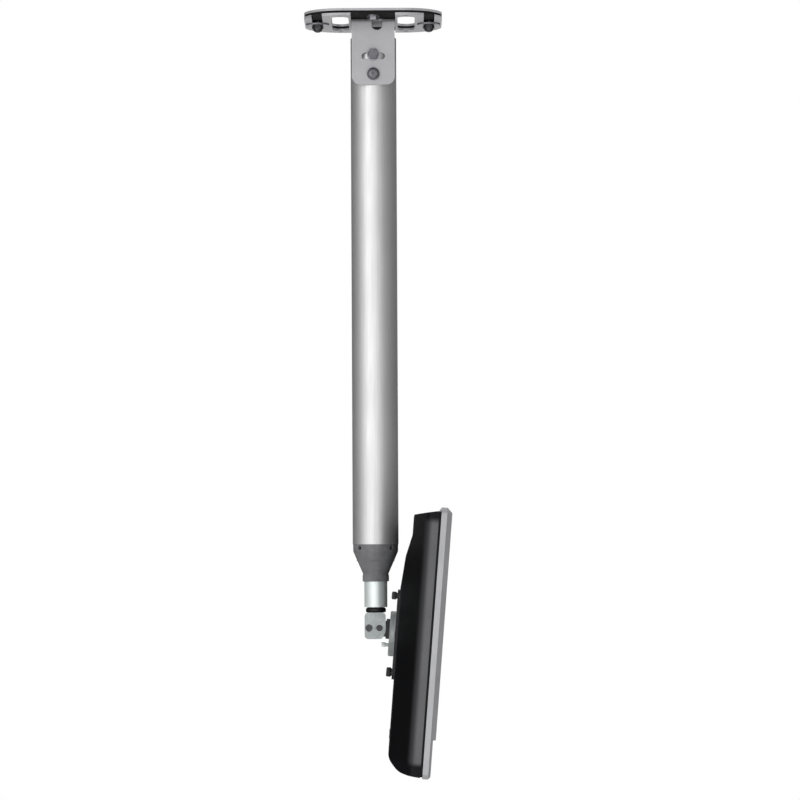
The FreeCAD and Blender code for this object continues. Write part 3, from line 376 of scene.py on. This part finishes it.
# Die-cast zinc under a thin grey paint: a lumpy skin of about 2.5 mm.
dress(finish("painted_die_cast_zinc", "#A9AEAE", "#7F8484", 0.44, 0.45, grain_mm=2.6,
             relief_mm=0.09, cloud_mm=14.0, clouds=0.25, worn="#C9CCCC"), "knuckle", "hub_disc")
# Black enamel on the cast arm and the display plate: even, with edges rubbed a little paler.
dress(finish("black_enamelled_steel", "#1C1C1E", "#0E0E0F", 0.42, grain_mm=1.5, relief_mm=0.05,
             specular=0.3, worn="#5A5A5C"), "tilt_arm", "vesa_plate")

# %% Fasteners
# Dull zinc, with the cloudy patches that passivation leaves.
dress(finish("dull_zinc_plated_steel", "#9C9CA0", "#7E7E84", 0.4, 0.85, grain_mm=1.6,
             relief_mm=0.02, cloud_mm=9.0, clouds=0.3),
      "stud_washers", "pad_screws", "cheek_washers", "cross_nuts", "bolt_spacers", "bush_pin",
      "end_plug", "swivel_bolt", "arm_screws", "axle_bolt", "rotation_lock_screw", "panel_chassis")
# Dark oxide: a soft sheen with paler worn spots. The larger bolts are less dark.
dark_oxide = dress(finish("black_oxide_steel", "#58585B", "#2E2E31", 0.36, 0.75, grain_mm=1.8,
                          relief_mm=0.02, cloud_mm=7.0, clouds=0.35),
                   "dome_nuts", "tilt_pivot_bolt", "tilt_lock_bolt")
dress(finish("grey_oxide_steel", "#727276", "#4E4E52", 0.4, 0.6, grain_mm=1.8, relief_mm=0.02,
             cloud_mm=7.0, clouds=0.3, worn="#A8A8AB"), "pivot_bolt", "clamp_bolt", "collar_screws")

# %% [markdown]
# ## Plastics, rubber and the screen
#
# Moulded housings take their grain from the spark-eroded mould. Black ABS hides it until light
# grazes the surface, the grey frame behind the bezel shows it as a soft bloom, and the bezel
# itself is painted silver, with tiny flakes. The collar is glass-filled nylon, which is matt
# and a little streaky. The screen has a matt film that spreads reflections. A photograph could
# give such grain too, but noise in millimetres has no seams and fits a piece of any size.

# %% Rubber and nylon
# Soft black rubber, dull all over.
dress(finish("black_rubber", "#171717", "#0D0D0D", 0.85, grain_mm=0.9, relief_mm=0.06, specular=0.2),
      "isolation_pad")
# Glass-filled nylon, with short flow streaks down the cone.
collar_nylon = dress(finish("grey_glass_filled_nylon", "#7C7C7E", "#5E5E61", 0.52, grain_mm=1.1,
                            relief_mm=0.05, stretch=(1, 1, 0.35), cloud_mm=12.0, clouds=0.2,
                            specular=0.35), "reducer_collar")
# Turned black nylon, a little waxy.
black_nylon = dress(finish("black_nylon", "#121213", "#0A0A0B", 0.5, grain_mm=0.8, relief_mm=0.03,
                           specular=0.3), "guide_bush", "swivel_washer")

# %% [markdown]
# ## The display's housing
#
# The back is black, and a grey band is sprayed along its sides. Over the rounded edge towards the
# back the band is darkened with painted shade, and near the top and the bottom it turns dark as
# well. Such a fade needs no picture: it follows a distance along one of the head's directions.

# %% Housing
COVER_TOP, COVER_BOTTOM = CENTRE + 162.0, CENTRE - 175.0


def band_ends(colour):
    """Two fades that hide the band under a colour, at its bottom and at its top. The colour is full up
    to the first distance from the cover's edge, and gone at the second."""
    return [(upward, colour, COVER_BOTTOM + 13.0, COVER_BOTTOM + 20.0),
            (upward, colour, COVER_TOP - 8.0, COVER_TOP - 18.0)]


# Mould grain of real ABS is 0.3 mm: drawn at 1.3 mm, so that it shows on the large back.
# The flat back panel is painted a shade lighter than its slopes. This is painted light, so that its
# shape shows from behind. The second fade, a grey rim beside the band, is painted light as well: the
# band's lit rounded edge carried onto the black.
dress(finish("black_grained_abs", "#101012", "#09090A", 0.5, grain_mm=1.3, relief_mm=0.07, specular=0.03,
             fades=[(forward, "#262629", BACK + 0.5, BACK + 2.0),
                    (forward, "#343436", BACK + 29.5, BACK + 23.0)] + band_ends("#101012")), "rear_cover")
# The band itself, with the same coarse grain. Its darkening towards the back is painted shade,
# where the rounded edge turns away from the light.
dress(finish("grey_sprayed_abs", "#69696B", "#545456", 0.45, grain_mm=1.3, relief_mm=0.06, specular=0.05,
             fades=[(forward, "#303032", BACK + 28.5, BACK + 36.0)] + band_ends("#141416")), "middle_frame")
# Silver paint: flakes of 0.5 mm here, finer in life.
dress(finish("silver_painted_abs", "#A2A2A5", "#868689", 0.38, 0.4, grain_mm=0.5, relief_mm=0.01,
             spread=0.1, worn="#CFCFD1"), "front_bezel")

# %% Buttons, boards, sockets and screen
# Plain grey ABS with a fine matt grain.
dress(finish("grey_button_abs", "#77777B", "#626266", 0.42, grain_mm=0.7, relief_mm=0.03),
      "menu_button_1", "menu_button_2", "menu_button_3", "menu_button_4", "power_button")
# Circuit board: green lacquer over a glass weave of about 2 mm.
dress(finish("green_solder_mask", "#1C5A38", "#123F27", 0.4, grain_mm=2.0, relief_mm=0.04),
      "main_board", "power_board")
# Socket bodies in black and blue nylon.
socket_nylon = dress(finish("black_socket_nylon", "#19191A", "#0E0E0F", 0.5, grain_mm=0.7, relief_mm=0.03,
                            specular=0.3), "power_inlet")
dress(finish("blue_socket_nylon", "#22357A", "#182659", 0.5, grain_mm=0.7, relief_mm=0.03), "video_port")
# A hazy film: its grain of 0.6 mm is coarser than real, and only breaks up reflections.
dress(finish("matt_screen_film", "#1B1D22", "#14161A", 0.46, grain_mm=0.6, relief_mm=0.006, spread=0.05),
      "lcd_panel")

# %% [markdown]
# ## Surfaces from numbers
#
# The finely worked pieces are surfaces computed with numpy. A piece is a stack of loops: the
# points of one loop run round the piece, and the loops follow each other along it. One function
# skins such a stack with quads. A turned part is closed by a fan at each end, and a ring joins
# its last loop to its first. The sign of the enclosed volume tells whether the faces point out.

# %% Stitch a stack of loops
def stitched(count, points, ring):
    """Vertex numbers of the quads between neighbouring loops, and of a fan of triangles at each end,
    round two middle points that come after the loops. A ring has no fans: its last loop meets its
    first."""
    row, column = np.meshgrid(np.arange(count if ring else count - 1), np.arange(points), indexing="ij")
    after, beyond = (column + 1) % points, (row + 1) % count
    quads = np.stack([row * points + column, row * points + after,
                      beyond * points + after, beyond * points + column], axis=-1).reshape(-1, 4)
    if ring:
        return quads, np.zeros((0, 3), int)
    turn = np.arange(points)
    following = (turn + 1) % points
    last_loop = (count - 1) * points
    first_fan = np.stack([np.full(points, count * points), following, turn], axis=-1)
    last_fan = np.stack([np.full(points, count * points + 1), last_loop + turn, last_loop + following],
                        axis=-1)
    return quads, np.concatenate([first_fan, last_fan])


print("a pipe of two loops with six points has", [len(faces) for faces in stitched(2, 6, False)],
      "quads and triangles")

# %% Skin a stack of loops
CREASE = math.radians(38)              # edges that bend more than this stay sharp


def skin(name, loops, material, body, ring=False):
    """One piece from copies of a stack. loops has the shape (copies, loops, points, 3), in metres."""
    loops = np.asarray(loops)
    copies, count, points = loops.shape[:3]
    vertices = loops.reshape(copies, -1, 3)
    if not ring:
        vertices = np.concatenate([vertices, loops[:, [0, -1]].mean(axis=2)], axis=1)
    quads, fans = stitched(count, points, ring)
    triangles = np.concatenate([quads[:, :3], quads[:, [0, 2, 3]], fans])
    a, b, c = vertices[0][triangles].transpose(1, 0, 2)
    volume = np.einsum("ij,ij->", a, np.cross(b, c)) / 6
    if volume < 0:
        quads, fans = quads[:, ::-1], fans[:, ::-1]
    shift = (np.arange(copies) * vertices.shape[1])[:, None, None]
    faces = (quads + shift).reshape(-1, 4).tolist() + (fans + shift).reshape(-1, 3).tolist()
    mesh = bpy.data.meshes.new(name)
    mesh.from_pydata(vertices.reshape(-1, 3).tolist(), [], faces)
    mesh.polygons.foreach_set("use_smooth", np.ones(len(mesh.polygons), bool))
    mesh.set_sharp_from_angle(angle=CREASE)
    mesh.materials.append(material)
    piece = bpy.data.objects.new(name, mesh)
    bpy.context.scene.collection.objects.link(piece)
    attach(piece, body)
    print(name, len(faces), "faces,", round(abs(volume) * copies * 1e6, 3), "cm3")
    return piece


# %% [markdown]
# ## Knurled thumb screws
#
# Four black thumb screws hold the display on its plate, and a small bright one behind the hub
# locks its turn. They could be cylinders with a bump, but the knurl shows in the outline, so it
# is real: the radius dips a little at every tooth. The small screw also shows its thread, a
# radius that rises and falls once for each pitch and shifts by one pitch in one turn.

# %% Turned parts with a knurl or a thread
def turned(start, profile, teeth=30, depth=0.07, pitch=0.8, points=120):
    """Loops round an axis: along, across, up. Rows of profile are (along from start, radius, knurl, thread).

    radius * (1 - depth * knurl * |sin(teeth * angle / 2)|) + thread * wave, where the wave is a
    triangle that climbs by one pitch in one turn."""
    offset, radius, knurl, thread = np.array(profile, float).T[:, :, None]
    along = start + offset
    angle = np.linspace(0, 2 * np.pi, points, endpoint=False)
    phase = (along / pitch - angle / (2 * np.pi)) % 1
    wave = 0.5 - np.abs(2 * phase - 1)
    reach = radius * (1 - depth * knurl * np.abs(np.sin(teeth * angle / 2))) + thread * wave
    return np.stack([along + 0 * angle, reach * np.cos(angle), reach * np.sin(angle)], axis=-1)


PLATE_THICKNESS, SCREW_SQUARE = 3.0, 100.0
PLATE_BACK = BACK - PLATE_THICKNESS
thumb_profile = [(13, 1.0, 0, 0), (12.5, 2.0, 0, 0), (0, 2.0, 0, 0), (0, 3.4, 0, 0), (-1.2, 3.4, 0, 0),
                 (-1.2, 4.2, 0, 0), (-1.7, 4.7, 1, 0), (-6.4, 4.7, 1, 0), (-7.1, 4.1, 0, 0),
                 (-7.5, 3.2, 0, 0), (-7.4, 2.2, 0, 0), (-6.6, 1.6, 0, 0), (-6.4, 0.6, 0, 0)]
corners = np.array([(0, side * SCREW_SQUARE / 2, CENTRE + end * SCREW_SQUARE / 2)
                    for side in (1, -1) for end in (1, -1)])
# Black coating on knurled steel: the teeth catch small lights.
black_knobs = finish("black_coated_knurled_steel", "#1E1E20", "#0C0C0D", 0.4, 0.3, grain_mm=0.6,
                     relief_mm=0.02)
thumb_screws = skin("thumb_screws", in_head(turned(PLATE_BACK, thumb_profile)[None] + corners[:, None, None]),
                    black_knobs, "display")
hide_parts("vesa_screws")

# %% Lock screw with its thread
HUB_GAP, HUB_THICKNESS = 0.2, 7.0
HUB_FRONT = PLATE_BACK - HUB_GAP
HUB_BACK = HUB_FRONT - HUB_THICKNESS
LOCK_BELOW_CENTRE = 15.0
THREAD_RADIUS, THREAD_HEIGHT = 2.25, 0.5
# Rows 0.1 mm apart, eight to each pitch.
thread_rows = [(along, THREAD_RADIUS, 0, THREAD_HEIGHT) for along in np.linspace(-3.6, 1.0, 47)]
lock_profile = ([(-8.6, 0.8, 0, 0), (-9.0, 1.6, 0, 0), (-9.0, 2.6, 0, 0), (-8.5, 3.1, 1, 0),
                 (-4.3, 3.1, 1, 0), (-3.8, 2.6, 0, 0), (-3.7, 2.0, 0, 0)] + thread_rows
                + [(6.4, 2.2, 0, 0), (6.5, 1.2, 0, 0)])
lock_loops = turned(HUB_BACK, lock_profile, teeth=22) + np.array([0, 0, CENTRE - LOCK_BELOW_CENTRE])
lock_screw = skin("lock_screw", in_head(lock_loops)[None], bright_plate, "tilt_head")
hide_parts("rotation_lock_screw")

# %% [markdown]
# ## Friction washer
#
# Between the hub and the display's plate lies a washer as thin as paper, which gives the turning
# display a steady drag. Without it, a line of light would shine through the gap. It could be a
# plain disc, but the axle passes through it. So it is turned like the screws, as a ring: its
# profile closes on itself.

# %% A ring between the hub and the plate
FRICTION_BORE, FRICTION_RIM = 12.0, 28.5
washer_faces = [(HUB_GAP / 4, FRICTION_BORE, 0, 0), (HUB_GAP / 4, FRICTION_RIM, 0, 0),
                (HUB_GAP * 3 / 4, FRICTION_RIM, 0, 0), (HUB_GAP * 3 / 4, FRICTION_BORE, 0, 0)]
washer_loops = turned(HUB_FRONT, washer_faces) + np.array([0, 0, CENTRE])
skin("friction_washer", in_head(washer_loops)[None], black_nylon, "tilt_head", ring=True)

# %% [markdown]
# ## Dome nuts on the studs
#
# Two dome nuts hold the bracket under the ceiling plate. A hexagon with a turned chamfer has
# curved lines on its flats, where the cone cuts them. A Boolean modifier could cut them, but they
# come for free when the radius is the smaller one of two: the hexagon's and the cone's. The dome
# below is half an ellipse.

# %% A hexagon trimmed by a cone, with a dome
def dome_nut(flats, height, dome, points=120):
    """Loops round a vertical axis, downwards from the washer. Up to height the radius is the smaller
    of flats / 2 / cos(angle from the nearest flat's middle) and a cone at each end, which starts at
    0.97 * flats / 2 and widens by 1.6 mm for each mm. Past it, an ellipse."""
    angle = np.linspace(0, 2 * np.pi, points, endpoint=False)
    off_flat = angle % (np.pi / 3) - np.pi / 6
    hexagon = flats / 2 / np.cos(off_flat)
    ends = np.linspace(0.0, 1.0, 8)
    down = np.concatenate([[0.0], ends, height - 1.0 + ends])[:, None]
    cone = flats / 2 * 0.97 + 1.6 * np.minimum(down, height - down)
    body = np.minimum(hexagon, cone)
    body[0] = flats * 0.2
    swing = np.linspace(0.0, np.pi / 2 * 0.97, 14)[:, None]
    crown = 0.92 * flats / 2 * np.cos(swing) + 0 * angle
    reach = np.concatenate([body, crown])
    depth = np.concatenate([down, height + dome * np.sin(swing)]) + 0 * angle
    return np.stack([reach * np.cos(angle), reach * np.sin(angle), -depth], axis=-1)


NUT_HALF_WIDTH = 7.5                   # from a stud to the outermost point of the CAD nut
nuts_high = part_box("dome_nuts")[1]
stud_x = nuts_high[0] - NUT_HALF_WIDTH * MM
spots = np.array([(-stud_x, 0, nuts_high[2]), (stud_x, 0, nuts_high[2])])
acorns = skin("acorn_nuts", dome_nut(flats=13.0, height=5.0, dome=4.4)[None] * MM + spots[:, None, None],
              dark_oxide, "ceiling_mount")
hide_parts("dome_nuts")

# %% [markdown]
# ## Rings on the pole
#
# The collar's neck has fine flutes for the fingers, and a domed black washer lies between the
# narrow tube and the cast fork. Both are rings: a closed profile of radius and height is carried
# round the pole's axis. For the flutes, the outer radius swings with the angle. A bump could draw
# them too, but it would leave the outline of the neck smooth.

# %% Rings round the pole's axis
def ring_loops(profile, waves=0, points=144):
    """Rows of profile are (radius, height, swing): radius + swing * |cos(waves * angle / 2)|."""
    radius, height, swing = np.array(profile, float).T[:, :, None]
    angle = np.linspace(0, 2 * np.pi, points, endpoint=False)
    reach = radius + swing * np.abs(np.cos(waves * angle / 2))
    loops = np.stack([reach * np.cos(angle), reach * np.sin(angle), height + 0 * angle], axis=-1)
    return loops[None] * MM


collar_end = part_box("reducer_collar")[0][2] / MM
flutes = [(16.3, collar_end + 0.2, 0), (16.6, collar_end + 0.1, 0), (16.75, collar_end + 0.8, 0.55),
          (16.75, collar_end + 8.0, 0.55), (16.5, collar_end + 9.2, 0), (16.2, collar_end + 9.0, 0)]
skin("collar_flutes", ring_loops(flutes, waves=40, points=320), collar_nylon, "pole",
     ring=True)
washer_low, washer_high = (corner[2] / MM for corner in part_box("swivel_washer"))
washer_rows = [(4.2, washer_high, 0), (9.5, washer_high, 0), (11.8, washer_high - 0.7, 0),
               (13.0, washer_high - 2.2, 0), (13.2, washer_high - 4.0, 0), (12.9, washer_low + 0.8, 0),
               (12.2, washer_low, 0), (4.2, washer_low, 0)]
washer = skin("domed_washer", ring_loops(washer_rows), black_nylon, "drop_tube",
              ring=True)
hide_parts("swivel_washer")

# %% [markdown]
# ## Painted shadow behind the bezel
#
# Between the grey middle frame and the silver bezel runs a dark line: the shade in the seam where
# the two halves of the housing meet. The rim in the seam is of one piece with the grey frame, so a
# thin black band is laid round it as painted shadow. Its path is a rectangle with round corners,
# which one formula gives: a quarter circle in each corner, pushed out by the signs of cosine and
# sine. A second function stacks such paths, each drawn in by an inset.

# %% A band along a rounded rectangle
def rounded_path(half_width, half_height, corner, points):
    """Corner circles pushed out: sign(cos) * (half_width - corner) + corner * cos, and so for sin."""
    angle = (np.arange(points) + 0.5) / points * 2 * np.pi
    across, up = np.cos(angle), np.sin(angle)
    return np.stack([np.sign(across) * (half_width - corner) + corner * across,
                     np.sign(up) * (half_height - corner) + corner * up], axis=-1)


def stacked_paths(rows, half_width, half_height, corner, points=160):
    """One rounded path for each row of (forward, inset). No corner is wider than its path."""
    return np.array([np.column_stack([
        np.full(points, along),
        rounded_path(half_width - inset, half_height - inset, min(corner, half_width - inset), points)])
        for along, inset in rows])


SHELL_DEPTH = 42.0                     # from the display's back to the front edge of its grey frame
shell_front = BACK + SHELL_DEPTH
half_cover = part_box("middle_frame")[1][1] / MM
cover_middle, half_height = (COVER_TOP + COVER_BOTTOM) / 2, (COVER_TOP - COVER_BOTTOM) / 2
SEAM, SEAM_CLEARANCE = 3.0, 0.1        # depth of the dark line, and air on each side of the painted shadow band
SEAM_BAND_INSET, SEAM_BAND_WALL = 1.0, 0.4
seam_band_back, seam_band_front = shell_front + SEAM_CLEARANCE, shell_front + SEAM - SEAM_CLEARANCE
seam_band_rows = [(seam_band_back, SEAM_BAND_INSET + SEAM_BAND_WALL), (seam_band_back, SEAM_BAND_INSET),
               (seam_band_front, SEAM_BAND_INSET), (seam_band_front, SEAM_BAND_INSET + SEAM_BAND_WALL)]
seam_band_loops = stacked_paths(seam_band_rows, half_cover, half_height, corner=2.0)
# Painted shadow in the seam: dull and nearly black.
seam_shadow_paint = finish("black_painted_seam_shadow", "#0F0F10", "#080809", 0.7, grain_mm=0.8, relief_mm=0.03,
                specular=0.2)
skin("seam_shadow_band", in_head(seam_band_loops + np.array([0, 0, cover_middle]))[None], seam_shadow_paint,
     "display", ring=True)

# %% [markdown]
# ## Screen edge
#
# Round the picture area a screen has a narrow black margin, printed under its film. It could be
# painted by a texture, but a thin band is sharper and stays where it is when the film changes.
# It uses the rounded path again, on the screen's face inside the bezel's window.

# %% A black margin round the picture
SCREEN_FACE, SCREEN_MIDDLE = BACK + 54.0, CENTRE + 20.25
SCREEN_WIDTH, SCREEN_HEIGHT = 338.0, 269.5
MARGIN, PRINT_RISE, EDGE_GAP = 2.6, 0.12, 0.02
margin_rows = [(SCREEN_FACE, EDGE_GAP), (SCREEN_FACE + PRINT_RISE, EDGE_GAP),
               (SCREEN_FACE + PRINT_RISE, MARGIN), (SCREEN_FACE, MARGIN)]
margin_loops = stacked_paths(margin_rows, SCREEN_WIDTH / 2, SCREEN_HEIGHT / 2, corner=0.6)
# Black print: as dark as ink, with the film's dull sheen.
margin_print = finish("black_screen_ink", "#040405", "#020203", 0.45, grain_mm=0.6, relief_mm=0.004)
skin("screen_margin", in_head(margin_loops + np.array([0, 0, SCREEN_MIDDLE]))[None], margin_print,
     "display", ring=True)

# %% [markdown]
# ## Sockets in the back
#
# The mains inlet holds three flat plated pins. The video port has a pressed metal shell with
# slanted ends, a blue block with fifteen contacts, and a six-sided stud on each side for the
# plug's screws. Bevelled cubes would do for the pins, but not for the slanted shell. Each is a
# closed outline carried backwards out of the socket's floor, so one function makes them all: an
# outline that may lean its ends like a keystone, drawn in a little at the tip.

# %% Outlines carried out of the socket's floor
SOCKET_BACK, SOCKET_LEVEL = BACK + 1.0, CENTRE - 109.0
SOCKET_FLOOR = SOCKET_BACK + 13.0


def peg(half_width, half_height, corner, tip, lean=0.0, points=32):
    """A rounded rectangle whose width grows by lean from its middle to its top, from the socket's
    floor to the tip, drawn in by 0.3 mm over the last 0.5 mm."""
    rows = [(SOCKET_FLOOR + 0.2, 0.0), (tip + 0.5, 0.0), (tip, 0.3)]
    loops = stacked_paths(rows, half_width, half_height, corner, points)
    loops[..., 1] *= 1 + lean * loops[..., 2] / half_height
    return loops


# Nickel plate: bright, with a warm tint.
nickel = finish("nickel_plated_brass", "#C9C6BE", "#AAA69C", 0.3, 0.9, grain_mm=0.7, relief_mm=0.01)
INLET_RIGHT, PIN_STEP, PIN_RISE = 34.0, 7.0, 2.0
pins = np.array([(0, INLET_RIGHT - PIN_STEP, SOCKET_LEVEL - PIN_RISE),
                 (0, INLET_RIGHT + PIN_STEP, SOCKET_LEVEL - PIN_RISE),
                 (0, INLET_RIGHT, SOCKET_LEVEL + PIN_RISE)])
pin = peg(half_width=1.0, half_height=2.0, corner=0.4, tip=SOCKET_BACK + 2.5)
skin("inlet_pins", in_head(pin[None] + pins[:, None, None]), nickel, "display")

# %% The video port's shell and block
PORT_RIGHT, PORT_LEAN = -30.0, 0.1
SHELL_TIP, BLOCK_TIP, CONTACT_TIP, STUD_TIP = (SOCKET_BACK + depth for depth in (6.0, 6.6, 6.3, 5.0))
port = np.array([0, PORT_RIGHT, SOCKET_LEVEL])
outside = peg(half_width=8.6, half_height=4.0, corner=1.4, tip=SHELL_TIP, lean=PORT_LEAN)
inside = peg(half_width=8.2, half_height=3.6, corner=1.2, tip=SHELL_TIP, lean=PORT_LEAN)
wall = np.concatenate([outside, inside[::-1]])
skin("port_shell", in_head(wall + port)[None], nickel, "display", ring=True)
# Moulded polyester in a clear blue, with a dull sheen.
blue_core = finish("blue_moulded_polyester", "#2A4191", "#1E3070", 0.45, grain_mm=0.7, relief_mm=0.02)
block = peg(half_width=8.15, half_height=3.55, corner=1.2, tip=BLOCK_TIP, lean=PORT_LEAN)
skin("port_block", in_head(block + port)[None], blue_core, "display")

# %% The video port's contacts and studs
CONTACT_STEP, CONTACT_SHIFT, ROW_STEP, STUD_STEP = 2.3, 0.3, 2.0, 12.5
column, row = (grid.ravel() for grid in np.meshgrid(np.arange(5) - 2.0, np.arange(3) - 1.0))
contacts = np.stack([0 * row, column * CONTACT_STEP + row * CONTACT_SHIFT, row * ROW_STEP], axis=-1) + port
contact = peg(half_width=0.45, half_height=0.45, corner=0.44, tip=CONTACT_TIP, points=12)
skin("port_contacts", in_head(contact[None] + contacts[:, None, None]), socket_nylon,
     "display")
studs = port + np.array([(0, -STUD_STEP, 0), (0, STUD_STEP, 0)])
stud = peg(half_width=2.6, half_height=2.6, corner=2.59, tip=STUD_TIP, points=6)
skin("port_studs", in_head(stud[None] + studs[:, None, None]), nickel, "display")

# %% [markdown]
# ## Screws of the rear cover
#
# Four countersunk screws close the display's housing. What shows of a head is a very low dome,
# and its cross is two slots that sink where a point is near either middle line. That needs no
# cutting at all: the height is simply lower there.

# %% Low heads with a cross
SLOT_HALF, SLOT_DEPTH, CROSS_SHARE = 0.5, 0.5, 0.6
SLOT_SIDE, SLOT_END = 0.12, 0.25       # over these widths, in millimetres, a slot's side and end slope


def screw_head(radius, height, points=96, rings=30):
    """height * sqrt(1 - (0.92 * share of the radius) ** 2), less the slot's depth where the nearer of
    the two middle lines is under half a slot away and the share is under the cross's."""
    share = np.linspace(1.0, 0.02, rings)[:, None]
    angle = np.linspace(0, 2 * np.pi, points, endpoint=False)
    across, up = radius * share * np.cos(angle), radius * share * np.sin(angle)
    slot = np.clip((SLOT_HALF - np.minimum(np.abs(across), np.abs(up))) / SLOT_SIDE, 0, 1)
    sunk = slot * np.clip((CROSS_SHARE - share) * radius / SLOT_END, 0, 1)
    dome = height * np.sqrt(1 - (0.92 * share) ** 2) - SLOT_DEPTH * sunk
    loops = np.stack([-dome, across, up], axis=-1)
    return np.concatenate([loops[:1] * (0, 1, 1) + (0.3, 0, 0), loops])


SCREW_ASIDE, SCREW_HEIGHTS = 70.0, (-130.0, 50.0)
screw_places = np.array([(BACK, side * SCREW_ASIDE, CENTRE + up) for side in (-1, 1) for up in SCREW_HEIGHTS])
heads = screw_head(radius=3.4, height=0.7)[None] + screw_places[:, None, None]
skin("cover_screws", in_head(heads), dark_oxide, "display")
